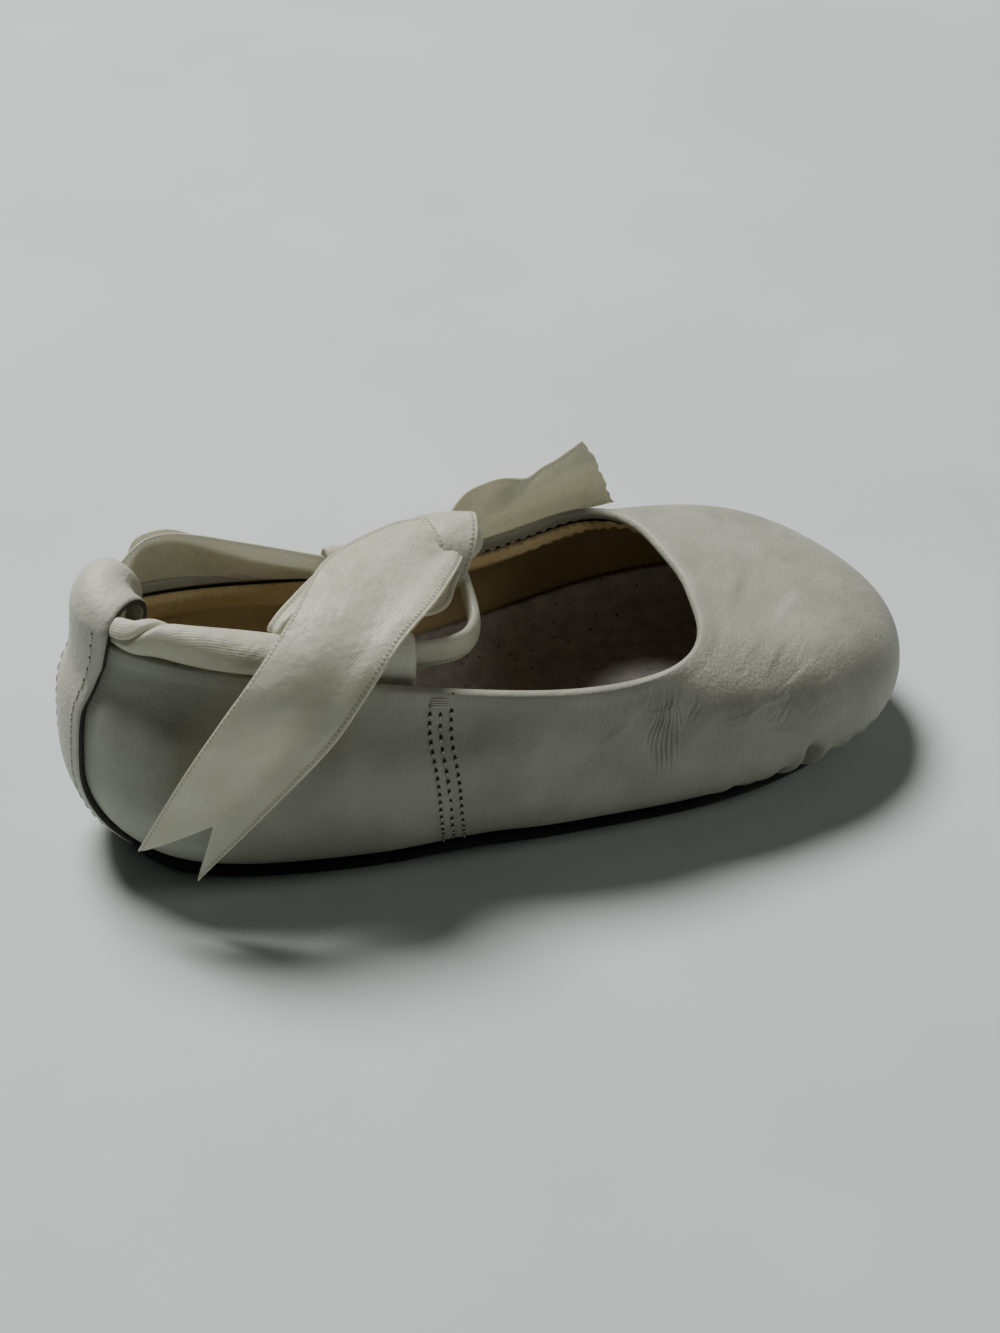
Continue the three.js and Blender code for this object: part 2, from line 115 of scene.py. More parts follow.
def wall(u, v):
    """A point of the upper's outer face: u runs round from the heel, v from the foot line to the collar."""
    u, v = np.broadcast_arrays(np.asarray(u, float), np.asarray(v, float))
    row = section_at(u)
    wide, tuck, top, lean = row[..., :3], row[..., 3:4], row[..., 4:7], row[..., 7:8]
    foot = wide - np.concatenate([plan_normal(u) * tuck, 0 * tuck], -1)
    foot[..., 2] = sole_bottom(foot[..., 0]) + SOLE_THICK + GAP
    angle = math.pi / 4 * (1 + np.clip(v / WIDE_V, 0, 1))[..., None]
    spread = (np.sin(angle) - math.sqrt(0.5)) / (1 - math.sqrt(0.5))
    rise = 1 - np.cos(angle) / math.sqrt(0.5)
    low = foot + (wide - foot) * np.concatenate([spread, spread, rise], -1)
    t = np.clip((v - WIDE_V) / (1 - WIDE_V), 0, 1)[..., None]
    back = (wide - top)[..., :2]
    back = back / np.linalg.norm(back, axis=-1, keepdims=True)
    reach = FULL_HIGH * np.linalg.norm(wide - top, axis=-1, keepdims=True)
    knee = wide + np.concatenate([0 * back, FULL_LOW * (top - wide)[..., 2:]], -1)
    shoulder = top + reach * np.concatenate([back * np.cos(lean), -np.sin(lean)], -1)
    s = 1 - t
    high = s**3 * wide + 3 * s * s * t * knee + 3 * s * t * t * shoulder + t**3 * top
    return np.where((v < WIDE_V)[..., None], low, high)


def unit(a):
    return a / np.maximum(np.linalg.norm(a, axis=-1, keepdims=True), 1e-9)


def wall_normal(u, v):
    around = wall(u + SLOPE_STEP, v) - wall(u - SLOPE_STEP, v)
    up = wall(u, np.minimum(v + SLOPE_STEP, 1)) - wall(u, np.maximum(v - SLOPE_STEP, 0))
    return unit(np.cross(around, up))


def on_wall(u, v, lift):
    return wall(u, v) + wall_normal(u, v) * lift


def pace(u, v):
    """Millimetres round the wall here for a whole turn of u."""
    return np.linalg.norm(wall(u + SLOPE_STEP, v) - wall(u - SLOPE_STEP, v), axis=-1) / (2 * SLOPE_STEP)


def walked(spots):
    """The distance from the first spot to each of them."""
    return np.concatenate([[0], np.cumsum(np.linalg.norm(np.diff(spots, axis=0), axis=1))])


def ease(low, high, x):
    t = np.clip((x - low) / (high - low), 0, 1)
    return t * t * (3 - 2 * t)


# The sole: one layer of dark grey suede, about 2 mm thick, cut to the foot line of the upper and turned in
# with it. It is coloured near black, a painted shade for the shadow under the shoe. Flat under heel and ball,
# a low arch between, sprung at the toe.
SOLE_MARGIN, SOLE_EDGE = 0.6, 0.45
MIDDLE_REACH, MIDDLE_Y = 0.3 * LENGTH, 0.5
PLATE_STATIONS = np.arange(240) / 240


def piece(name, points, faces, finishes, face_finish=None, marks=None):
    """A mesh object from points in millimetres of the last's own frame, riding on the shoe."""
    mesh = bpy.data.meshes.new(name)
    mesh.from_pydata(((np.reshape(points, (-1, 3)) + SHIFT) * MM).tolist(), [], faces)
    for finish in finishes:
        mesh.materials.append(finish)
    mesh.polygons.foreach_set("use_smooth", [True] * len(mesh.polygons))
    if face_finish is not None:
        mesh.polygons.foreach_set("material_index", list(face_finish))
    for key, values in (marks or {}).items():
        mark = mesh.attributes.new(key, "FLOAT", "POINT")
        mark.data.foreach_set("value", np.ravel(values).astype(np.float32))
    shape = bmesh.new()
    shape.from_mesh(mesh)
    bmesh.ops.recalc_face_normals(shape, faces=shape.faces)
    shape.to_mesh(mesh)
    shape.free()
    made = bpy.data.objects.new(name, mesh)
    bpy.context.collection.objects.link(made)
    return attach(made, "root")


def net(rows, columns, wrap_rows=False, wrap_columns=False, start=0):
    """Quads over a grid of points stored row by row."""
    faces = []
    for i in range(rows if wrap_rows else rows - 1):
        for j in range(columns if wrap_columns else columns - 1):
            a, b = i * columns, (i + 1) % rows * columns
            k = (j + 1) % columns
            faces.append((start + a + j, start + b + j, start + b + k, start + a + k))
    return faces


class Shade:
    """One socket of a material: arithmetic on it adds Math nodes, and node() adds any other node."""

    def __init__(self, tree, socket=None):
        self.tree = tree
        self.socket = socket

    def node(self, kind, settings=None, sockets=None, out=0):
        made = self.tree.nodes.new("ShaderNode" + kind)
        for key, value in (settings or {}).items():
            setattr(made, key, value)
        for key, value in (sockets or {}).items():
            if isinstance(value, Shade):
                self.tree.links.new(value.socket, made.inputs[key])
            else:
                made.inputs[key].default_value = value
        return Shade(self.tree, made.outputs[out])

    def maths(self, operation, *values):
        return self.node("Math", {"operation": operation}, dict(enumerate(values)))

    def __add__(self, other):
        return self.maths("ADD", self, other)

    def __sub__(self, other):
        return self.maths("SUBTRACT", self, other)

    def __rsub__(self, other):
        return self.maths("SUBTRACT", other, self)

    def __mul__(self, other):
        return self.maths("MULTIPLY", self, other)

    __radd__ = __add__
    __rmul__ = __mul__

    def between(self, low, high):
        return self.node("MapRange", {"interpolation_type": "SMOOTHSTEP"}, {0: self, 1: low, 2: high})

    def tint(self, one, other):
        """Colour one where this is 0 and the other where it is 1."""
        one, other = (c if isinstance(c, Shade) else (*c, 1) for c in (one, other))
        return self.node("Mix", {"data_type": "RGBA"}, {0: self, 6: one, 7: other}, out=2)

    def wave(self, pitch):
        """A sine over this value, one period to each pitch."""
        turn = self * (2 * math.pi / pitch)
        return self.maths("SINE", turn)

    def mark(self, name):
        """A value that the mesh carries at each point."""
        return self.node("Attribute", {"attribute_name": name}, out=2)

    def places(self, stretch=(1, 1, 1)):
        """Places on the object in millimetres, squeezed along its axes by the stretch."""
        metres = self.node("TexCoord", out=3)
        return self.node("Mapping", {}, {"Vector": metres, "Scale": tuple(s / MM for s in stretch)})

    def noise(self, size_mm, detail=3.0, rough=0.5, stretch=(1, 1, 1)):
        sockets = {"Vector": self.places(stretch), "Scale": 1 / size_mm, "Detail": detail, "Roughness": rough}
        return self.node("TexNoise", {}, sockets)

    def cells(self, size_mm, feature="F1"):
        sockets = {"Vector": self.places(), "Scale": 1 / size_mm}
        return self.node("TexVoronoi", {"feature": feature}, sockets)

    def bump(self, height_mm):
        return self.node("Bump", {}, {"Height": height_mm, "Strength": 1.0, "Distance": MM})


def finish(name, fixed, varied, sheer=None):
    """A material: fixed values on the surface's own sockets, varied ones from a function of a bare Shade.
    A sheer cloth also lets light through: the share of it and its colour."""
    made = bpy.data.materials.new(name)
    made.use_nodes = True
    tree = made.node_tree
    bare = Shade(tree)
    surface = tree.nodes["Principled BSDF"]
    for key, value in fixed.items():
        surface.inputs[key].default_value = value
    for key, shade in varied(bare).items():
        tree.links.new(shade.socket, surface.inputs[key])
    if sheer:
        share, colour = sheer
        glow = bare.node("BsdfTranslucent", {}, {"Color": (*colour, 1)})
        both = bare.node("MixShader", {}, {0: share, 1: Shade(tree, surface.outputs[0]), 2: glow})
        tree.links.new(both.socket, tree.nodes["Material Output"].inputs["Surface"])
    return made


def suede(nap_mm, dark, light):
    """Brushed leather: a short nap that lies this way and that, in two tones."""

    def varied(bare):
        patch = bare.noise(6 * nap_mm, 4).between(0.3, 0.7)
        fibre = bare.noise(nap_mm, 5, 0.7)
        return {
            "Base Color": (patch * 0.5 + fibre * 0.5).tint(dark, light),
            "Normal": bare.bump(fibre * 0.25 + patch * 0.12),
            "Roughness": 0.86 + fibre * 0.12,
        }

    return varied


def flat_ring(u, inset, share, lift):
    """A ring over the ground inside the foot line, drawn in to the middle of the foot by its share."""
    foot = wall(u, 0.0)[:, :2]
    middle = np.stack([np.clip(foot[:, 0], -MIDDLE_REACH, MIDDLE_REACH), 0 * u + MIDDLE_Y], -1)
    spot = middle + (foot - plan_normal(u) * inset - middle) * share
    return np.column_stack([spot, sole_bottom(spot[:, 0]) + lift])


def sole_rows(u):
    """Rings of the sole: underside, rounded edge and top."""
    inside = (0.0, 0.25, 0.5, 0.75, 0.9)
    rings = [(SOLE_EDGE, share, 0.0) for share in inside]
    for angle in np.linspace(0, math.pi, 9):
        rings.append((SOLE_EDGE * (1 - math.sin(angle)), 1.0, SOLE_THICK * (1 - math.cos(angle)) / 2))
    rings += [(SOLE_EDGE, share, SOLE_THICK) for share in reversed(inside)]
    return np.array([flat_ring(u, inset - SOLE_MARGIN, share, lift) for inset, share, lift in rings])


# Near-black suede: the sole's dark grey is darkened further as painted shade for the shadow under the shoe.
sole_suede = finish(
    "sole_suede",
    {"Sheen Weight": 0.15, "Sheen Roughness": 0.6, "Specular IOR Level": 0.2},
    suede(0.5, (0.006, 0.006, 0.006), (0.022, 0.022, 0.021)),
)
rings = sole_rows(PLATE_STATIONS)
sole = piece("sole", rings, net(*rings.shape[:2], wrap_columns=True), [sole_suede])
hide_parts("outsole")


# The footbed: grey-brown suede on a thin board, laid loose on the sole and turned up along the wall like
# a dish: low round the heel, higher from the waist forward. Its nap is worn and specked by the foot.
FOOTBED_THICK, FOOTBED_INSET = 2.2, 2.2
DISH_INSET, DISH_THICK, DISH_BEND_V, DISH_HEEL_V, DISH_TOE_V = 5.0, 1.0, 0.08, 0.1, 0.27


def worn_suede(bare):
    shades = suede(0.45, (0.28, 0.258, 0.245), (0.48, 0.446, 0.425))(bare)
    speck = 1 - bare.cells(2.6).between(0.05, 0.16)
    shades["Base Color"] = (speck * 0.75).tint(shades["Base Color"], (0.03, 0.024, 0.02))
    return shades


footbed_suede = finish("footbed_suede", {"Sheen Weight": 0.2, "Specular IOR Level": 0.25}, worn_suede)


def dish_rows(u):
    """Rings of the footbed: underside, up the wall, over its edge and down to the middle of its face."""
    rim = DISH_HEEL_V + (DISH_TOE_V - DISH_HEEL_V) * ease(0.12, 0.3, 0.5 - np.abs(u - 0.5))
    floor = SOLE_THICK + GAP

    def up_wall(start, share, depth):
        v = start + (rim - start) * share
        return on_wall(u, v, -(WALL + GAP + depth))

    rings = [flat_ring(u, FOOTBED_INSET, share, floor) for share in (0.0, 0.5, 1.0)]
    rings += [up_wall(0.0, share, 0.0) for share in np.linspace(0, 0.96, 9)]
    rings += [up_wall(DISH_BEND_V, share, depth) for share, depth in ((0.99, 0.1), (1.0, 0.4), (0.99, 0.8))]
    rings += [up_wall(DISH_BEND_V, share, DISH_THICK) for share in np.linspace(0.94, 0, 9)]
    rings += [flat_ring(u, DISH_INSET, share, floor + FOOTBED_THICK) for share in (1.0, 0.85, 0.6, 0.3, 0.0)]
    return np.array(rings)


rings = dish_rows(PLATE_STATIONS)
footbed = piece("footbed", rings, net(*rings.shape[:2], wrap_columns=True), [footbed_suede])
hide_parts("insole")


# The upper: soft ivory leather, vamp and quarters sewn together and turned right side out over the
# sole. The topline is rolled over a cord into a bead; the toe is drawn in at the foot in small gathers.
AROUND = 750
MEAN_PACE = 313.0
BEAD_HEIGHT, RIM_RISE = 0.25, 0.76
SEAM_AT, SEAM_BOW = (0.1937, 0.1927), 0.0058
SEAM_DIP, SEAM_WIDTH = 0.4, 0.4
# Where stations lie closer: how much closer, and where that starts, is full, falls off and ends
CLOSER = [(2, 0.25, 0.262, 0.36, 0.40), (3.5, 0.258, 0.265, 0.306, 0.314)]

# Creases where the forefoot flexes: their common route up to the corner of the throat, as v, u and spread,
# and for each line its shift in millimetres at full spread, first and last v and depth
FLEX_ROUTE = np.array(
    [(0.30, 0.2730, 0.9), (0.48, 0.2735, 1.0), (0.62, 0.2765, 0.9), (0.83, 0.2865, 0.6), (0.95, 0.3005, 0.8)]
)
FLEX_LINES = [
    (-2.3, 0.80, 0.50, 0.13), (-1.5, 0.92, 0.40, 0.19), (-0.7, 0.96, 0.33, 0.23), (0.1, 0.88, 0.31, 0.18),
    (0.8, 0.97, 0.34, 0.24), (1.6, 0.84, 0.31, 0.18), (2.3, 0.93, 0.42, 0.15), (3.2, 0.95, 0.60, 0.14),
]
FLEX_WIDTH = 0.2
# Other creases: u and v of their points, width and depth in millimetres. The first five lie beside the flex
# lines and on the inner side, the rest are single wrinkles of the worn forefoot and toe
CREASES = [
    ([(0.309, 0.854), (0.298, 0.758), (0.2907, 0.667)], 0.3, 0.14),
    ([(0.3027, 0.771), (0.2957, 0.70), (0.2913, 0.637)], 0.25, 0.10),
    ([(0.703, 0.92), (0.715, 0.74), (0.722, 0.48)], 0.7, 0.16),
    ([(0.696, 0.88), (0.708, 0.70), (0.714, 0.42)], 0.6, 0.14),
    ([(0.688, 0.90), (0.700, 0.72)], 0.7, 0.12),
    ([(0.294, 0.987), (0.2857, 0.929)], 0.26, 0.06),
    ([(0.2983, 0.983), (0.2907, 0.933)], 0.26, 0.06),
    ([(0.275, 0.979), (0.273, 0.942)], 0.29, 0.05),
    ([(0.312, 0.971), (0.3187, 0.979), (0.3297, 0.987)], 0.38, 0.06),
    ([(0.3207, 0.871), (0.331, 0.883), (0.3367, 0.871)], 0.29, 0.05),
    ([(0.3343, 0.842), (0.341, 0.842), (0.345, 0.829)], 0.29, 0.05),
    ([(0.3493, 0.904), (0.3623, 0.896), (0.373, 0.892)], 0.32, 0.04),
    ([(0.3293, 0.787), (0.337, 0.80)], 0.29, 0.04),
    ([(0.3247, 0.45), (0.329, 0.487), (0.3347, 0.521), (0.339, 0.579)], 0.32, 0.07),
    ([(0.328, 0.442), (0.3323, 0.475), (0.338, 0.529), (0.35, 0.629)], 0.32, 0.08),
    ([(0.3323, 0.421), (0.3383, 0.487), (0.345, 0.546)], 0.32, 0.07),
    ([(0.3367, 0.592), (0.345, 0.629), (0.3517, 0.65)], 0.32, 0.06),
    ([(0.322, 0.421), (0.3247, 0.471), (0.328, 0.479)], 0.32, 0.05),
    ([(0.2997, 0.475), (0.3023, 0.529)], 0.29, 0.05),
    ([(0.302, 0.471), (0.306, 0.504)], 0.29, 0.05),
    ([(0.3027, 0.383), (0.302, 0.429)], 0.29, 0.04),
    ([(0.377, 0.713), (0.388, 0.713)], 0.38, 0.04),
    ([(0.3713, 0.567), (0.3813, 0.613)], 0.38, 0.04),
    ([(0.36, 0.754), (0.3723, 0.783)], 0.38, 0.04),
    ([(0.60, 0.72), (0.585, 0.62), (0.58, 0.52)], 0.44, 0.05),
    ([(0.655, 0.60), (0.665, 0.45)], 0.38, 0.07),
    ([(0.64, 0.52), (0.65, 0.40)], 0.38, 0.06),
]
# Broad hollows, and swellings where the depth is negative
SOFT_HOLLOWS = [
    ([(0.300, 0.84), (0.283, 0.58), (0.272, 0.40)], 2.2, 0.4),
    ([(0.47, 0.92), (0.44, 0.80)], 6.0, 0.6),
    ([(0.37, 0.80), (0.36, 0.66)], 4.5, 0.3),
    ([(0.40, 0.70), (0.45, 0.60)], 5.0, -0.4),
    ([(0.34, 0.60), (0.33, 0.40)], 4.0, 0.35),
    ([(0.08, 0.62), (0.15, 0.52)], 8.0, 0.5),
    ([(0.225, 0.66), (0.245, 0.42)], 5.0, 0.35),
    ([(0.255, 0.72), (0.258, 0.40)], 3.0, -0.25),
    ([(0.705, 0.78), (0.715, 0.5)], 3.5, 0.6),
    ([(0.80, 0.60), (0.86, 0.5)], 8.0, 0.5),
    ([(0.60, 0.80), (0.56, 0.66)], 6.0, 0.5),
]
# Gathers where the toe is drawn in: station, how far up the wall, width and depth
TOE_GATHERS = [
    (0.314, 0.13, 1.2, 0.5), (0.337, 0.20, 1.3, 0.7), (0.3485, 0.31, 1.2, 1.7), (0.366, 0.18, 1.0, 0.5),
    (0.383, 0.22, 1.1, 0.7), (0.401, 0.16, 1.0, 0.5), (0.418, 0.21, 1.1, 0.8), (0.438, 0.17, 1.0, 0.6),
    (0.457, 0.22, 1.1, 0.8), (0.478, 0.18, 1.0, 0.6), (0.497, 0.22, 1.1, 0.8), (0.519, 0.17, 1.0, 0.6),
    (0.540, 0.22, 1.1, 0.8), (0.561, 0.17, 1.0, 0.6), (0.583, 0.21, 1.1, 0.8), (0.604, 0.17, 1.0, 0.5),
    (0.627, 0.22, 1.2, 0.9), (0.648, 0.18, 1.1, 0.6), (0.672, 0.14, 1.2, 0.5),
]


def pull(spots, route, width, depth):
    """How far a line of creasing moves each spot along its normal: a soft trough with a low ridge on both
    sides.
    """
    stops = np.linspace(0, 1, len(route))
    fine = np.linspace(0, 1, 8 * (len(route) - 1) + 1)
    u, v = (np.interp(fine, stops, [stop[k] for stop in route]) for k in (0, 1))
    line = wall(u, v)
    flat = spots.reshape(-1, 3)
    moved = np.zeros(len(flat))
    near = np.abs(flat - (line.min(0) + line.max(0)) / 2).max(1) < np.ptp(line, axis=0).max() / 2 + 5 * width
    some = flat[near]
    best = np.full(len(some), 1e9)
    place = np.zeros(len(some))
    for i, (a, b) in enumerate(zip(line[:-1], line[1:])):
        t = np.clip((some - a) @ (b - a) / ((b - a) @ (b - a)), 0, 1)
        gap = np.linalg.norm(some - a - t[:, None] * (b - a), axis=1)
        place = np.where(gap < best, (i + t) / (len(line) - 1), place)
        best = np.minimum(best, gap)
    fade = ease(0, 0.2, place) * ease(0, 0.2, 1 - place) * 0.85 + 0.15
    trough = np.exp(-((best / width) ** 2))
    ridge = np.exp(-(((best - 2 * width) / (0.9 * width)) ** 2))
    moved[near] = depth * fade * (0.4 * ridge - trough)
    return moved.reshape(spots.shape[:-1])


def pulled(spots, lines):
    return sum(pull(spots, *line) for line in lines)


def stations(many):
    """Stations round the shoe, closer together where the forefoot creases."""
    fine = np.linspace(0, 1, 4001)
    wish = np.ones(len(fine))
    for extra, begins, full, falls, ends in CLOSER:
        wish += extra * ease(begins, full, fine) * (1 - ease(falls, ends, fine))
    total = np.concatenate([[0], np.cumsum((wish[1:] + wish[:-1]) / 2)])
    return np.interp(np.arange(many) / many, total / total[-1], fine)


def below_collar(spots):
    """How far each spot of a grid lies below the collar, along the wall."""
    steps = np.linalg.norm(np.diff(spots, axis=1), axis=-1)
    return np.concatenate([np.cumsum(steps[:, ::-1], axis=1)[:, ::-1], np.zeros((len(spots), 1))], axis=1)


def outer_seam(v):
    """The station of the outer side seam, which bows back between foot and collar."""
    v = np.asarray(v, float)
    return SEAM_AT[0] + (SEAM_AT[1] - SEAM_AT[0]) * v - SEAM_BOW * 4 * v * (1 - v)


def inner_seam(v):
    return 1 - outer_seam(v)


def leather(colour_low, colour_high, grain_mm, soil_and_shade_colour, soil_and_shade_share=0.5):
    """Soft grained leather, clouded, rubbed, darkened by a mesh mark (in creases, at cut edges, and as
    painted shade in recesses) and lined where it flexes.
    """

    def varied(bare):
        cloud = bare.noise(14, 4).between(0.32, 0.7)
        grain = bare.cells(grain_mm, "SMOOTH_F1")
        pore = bare.noise(grain_mm * 0.4, 2)
        soil_and_shade = bare.mark("soil_and_shade")
        rub = bare.noise(5, 5, 0.65).between(0.55, 0.78)
        colour = cloud.tint(colour_low, colour_high)
        # The mark darkens the strap's cut edges and the upper's creases and foot line, and paints shade under
        # the bead and down the lining.
        colour = (soil_and_shade.between(0.08, 0.7) * soil_and_shade_share).tint(colour, soil_and_shade_colour)
        colour = (rub * 0.10).tint(colour, soil_and_shade_colour)
        fine = bare.noise(2.4, 4, 0.6, (1, 1, 0.4))
        line = bare.noise(1.1, 4, 0.6, (1.4, 1, 0.6)) * 2 - 1
        worn = bare.mark("flex") * (1 - line.maths("ABSOLUTE", line).between(0.0, 0.16))
        return {
            "Base Color": colour,
            "Roughness": 0.47 + cloud * 0.08 + rub * 0.12 + grain * 0.05,
            "Normal": bare.bump(grain * 0.075 + pore * 0.03 + fine * 0.17 - worn * 0.06),
        }

    return varied


# The upper's darker second colour goes into its creases and along the foot line, and is painted shade inside
# the bead.
upper_leather = finish(
    "upper_leather",
    {"Coat Weight": 0.05, "Coat Roughness": 0.4, "Specular IOR Level": 0.38},
    leather((0.265, 0.262, 0.214), (0.345, 0.342, 0.283), 0.75, (0.23, 0.215, 0.165), 0.26),
)

u = stations(AROUND)[:, None]
v = np.concatenate([np.linspace(0, WIDE_V, 31)[:-1], np.linspace(WIDE_V, 1, 86)])[None, :]
form, outward = wall(u, v), wall_normal(u, v)
depth_below = below_collar(form)
lines = list(CREASES)
for shift, first, last, depth in FLEX_LINES:
    down = np.linspace(first, last, 9)
    place, spread = (np.interp(down, FLEX_ROUTE[:, 0], FLEX_ROUTE[:, k]) for k in (1, 2))
    lines.append((list(zip(place + shift * spread / MEAN_PACE, down)), FLEX_WIDTH, depth))
for station, reach, width, depth in TOE_GATHERS:
    route = [(station, -0.02), (station + 0.002, reach * 0.5), (station + 0.003, reach)]
    lines.append((route, width, depth))
for seam in (outer_seam, inner_seam):
    lines.append(([(seam(k), k) for k in np.linspace(0, 1, 9)], SEAM_WIDTH, SEAM_DIP))
creases, hollows = pulled(form, lines), pulled(form, SOFT_HOLLOWS)
bead = BEAD_HEIGHT * (1 - ease(0.6, 3.0, depth_below))
still = ease(0, 2.5, depth_below)
skin = form + outward * (bead + (creases + hollows) * still)[..., None]
up = unit(form[:, -1] - form[:, -2])
rim_out, rim_at = outward[:, -1], form[:, -1]
turned = []
for angle in np.linspace(0, math.pi, 11)[1:]:
    half = WALL / 2 + BEAD_HEIGHT * (0.5 + 0.5 * math.cos(angle))
    reach = half * math.cos(angle) - WALL / 2
    turned.append(rim_at + rim_out * reach + up * (RIM_RISE * math.sin(angle)))
for drop, inset in ((0.45, 0.12), (0.8, 0.08), (1.05, -0.1), (1.2, -0.4)):
    turned.append(rim_at - up * drop - rim_out * (WALL + inset))
foot_edge = form[:, :1] - outward[:, :1] * WALL
grid = np.concatenate([foot_edge, skin, np.stack(turned, 1)], axis=1)
# Darker in the creases and along the foot line; painted shade down the inside of the bead's turn, in the last
# four rows.
upper_darkening_and_shade = np.clip(-creases / 0.5, 0, 1) + 0.5 * (1 - ease(0, 2.2, form[..., 2] - form[:, :1, 2]))
upper_darkening_and_shade = np.concatenate([upper_darkening_and_shade[:, :1], upper_darkening_and_shade, np.zeros((AROUND, len(turned)))], axis=1)
upper_darkening_and_shade[:, -4:] = (0.1, 0.4, 0.9, 1.0)
flex = ease(0.265, 0.285, u) * (1 - ease(0.36, 0.42, u)) * ease(0.3, 0.45, v) * np.ones_like(creases)
flex = np.concatenate([flex[:, :1], flex, np.zeros((AROUND, len(turned)))], axis=1)
marks = {"soil_and_shade": upper_darkening_and_shade, "flex": flex}
faces = net(*grid.shape[:2], wrap_rows=True)
upper = piece("turned_upper", grid, faces, [upper_leather], marks=marks)
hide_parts("upper")


# The lining: thin tan leather inside the upper, sewn to the topline under the bead and gathered
# there round the throat, where it has to turn the tight curve.
LINING_AROUND, LINING_UP, LINING_KEPT = 520, 72, 70
GATHER_DEPTH, GATHER_PITCH, GATHER_BELOW = 0.27, 1.7, 3.2

u = stations(LINING_AROUND)[:, None]
v = np.linspace(0.0, 1.0, LINING_UP)[None, :]
form, outward = wall(u, v), wall_normal(u, v)
depth_below = below_collar(form)
soft = pulled(form, SOFT_HOLLOWS)
rim_walk = walked(form[:, -1])[:, None]
throat = ease(0.16, 0.30, u) * (1 - ease(0.70, 0.84, u))
wander = rim_walk + 1.1 * np.sin(rim_walk / 4.3) + 0.5 * np.sin(rim_walk / 1.9 + depth_below * 0.8)
ripple = np.sin(2 * math.pi * wander / GATHER_PITCH) * np.exp(-(((depth_below - GATHER_BELOW) / 1.6) ** 2))
ripple = ripple * (0.3 + 0.7 * throat) * GATHER_DEPTH
swell = (0.5 + 1.3 * throat) * np.exp(-(((depth_below - GATHER_BELOW) / 1.5) ** 2))
tucked = 0.4 * (1 - ease(0.8, 1.7, depth_below))
skin = form + outward * (-WALL + tucked - swell - ripple + soft * ease(0, 4, depth_below))[..., None]
grid = skin[:, :LINING_KEPT]
# Painted shade on the lining: darker under the bead, in the hollows of the gathers, and deeper inside towards
# the footbed, most round the throat.
under_bead = 0.9 * (1 - ease(1.1, 2.0, depth_below))
in_gathers = 0.35 * np.clip(ripple / GATHER_DEPTH, 0, 1)
deep_inside = (0.3 + 0.45 * throat) * ease(4.5, 12, depth_below)
shadow = np.clip(under_bead + in_gathers + deep_inside, 0, 1)[:, :LINING_KEPT]
# The lining's dark brown second colour is its painted shade.
lining_leather = finish(
    "lining_leather",
    {"Specular IOR Level": 0.35},
    leather((0.58, 0.46, 0.23), (0.71, 0.59, 0.335), 0.6, (0.10, 0.068, 0.028), 0.75),
)
faces = net(*grid.shape[:2], wrap_rows=True)
lining = piece("lining", grid, faces, [lining_leather], marks={"soil_and_shade": shadow})


# Sewing on the upper: at each side vamp and quarter butt together, with one row of stitches sunk in the
# join, a row either side of it and a bar tack at its top. Another row holds the lining under the bead.
THREAD, THREAD_SIDES, THREAD_RINGS = 0.18, 6, 7
HOLE_WIDE, HOLE_LONG = 0.28, 0.6
# Rows of a side seam: millimetres from the join, pitch, length of a stitch and lift off the wall
SEAM_ROWS = [(-1.7, 1.55, 0.5, 0.1), (0.0, 1.9, 0.6, -0.12), (1.7, 1.55, 0.5, 0.1)]
TACK_AT, TACK_WIDTH, TACK_THREAD, TACK_LIFT = (0.955, 0.965, 0.975, 0.985), 3.2, 2.9, 0.32
TOPLINE_PITCH, TOPLINE_STITCH, TOPLINE_DROP = 2.1, 1.5, 1.2


def two_tone(dark, light, size_mm, detail, rough=None, grain=0.5, height=None):
    """Two tones of one noise, which may also vary the gloss, as (least, more), and raise the surface."""

    def varied(bare):
        noise = bare.noise(size_mm, detail, grain)
        shades = {"Base Color": noise.tint(dark, light)}
        if rough:
            shades["Roughness"] = rough[0] + noise * rough[1]
        if height:
            shades["Normal"] = bare.bump(noise * height)
        return shades

    return varied


thread = finish(
    "thread",
    {"Specular IOR Level": 0.3},
    two_tone((0.42, 0.40, 0.335), (0.62, 0.59, 0.50), 0.35, 2, rough=(0.5, 0.3)),
)
# Needle holes: flat dark discs, painted shade for the holes.
needle_hole_shade = finish(
    "needle_hole_shade",
    {"Roughness": 0.95, "Specular IOR Level": 0.05},
    two_tone((0.012, 0.011, 0.009), (0.05, 0.045, 0.035), 0.5, 2),
)


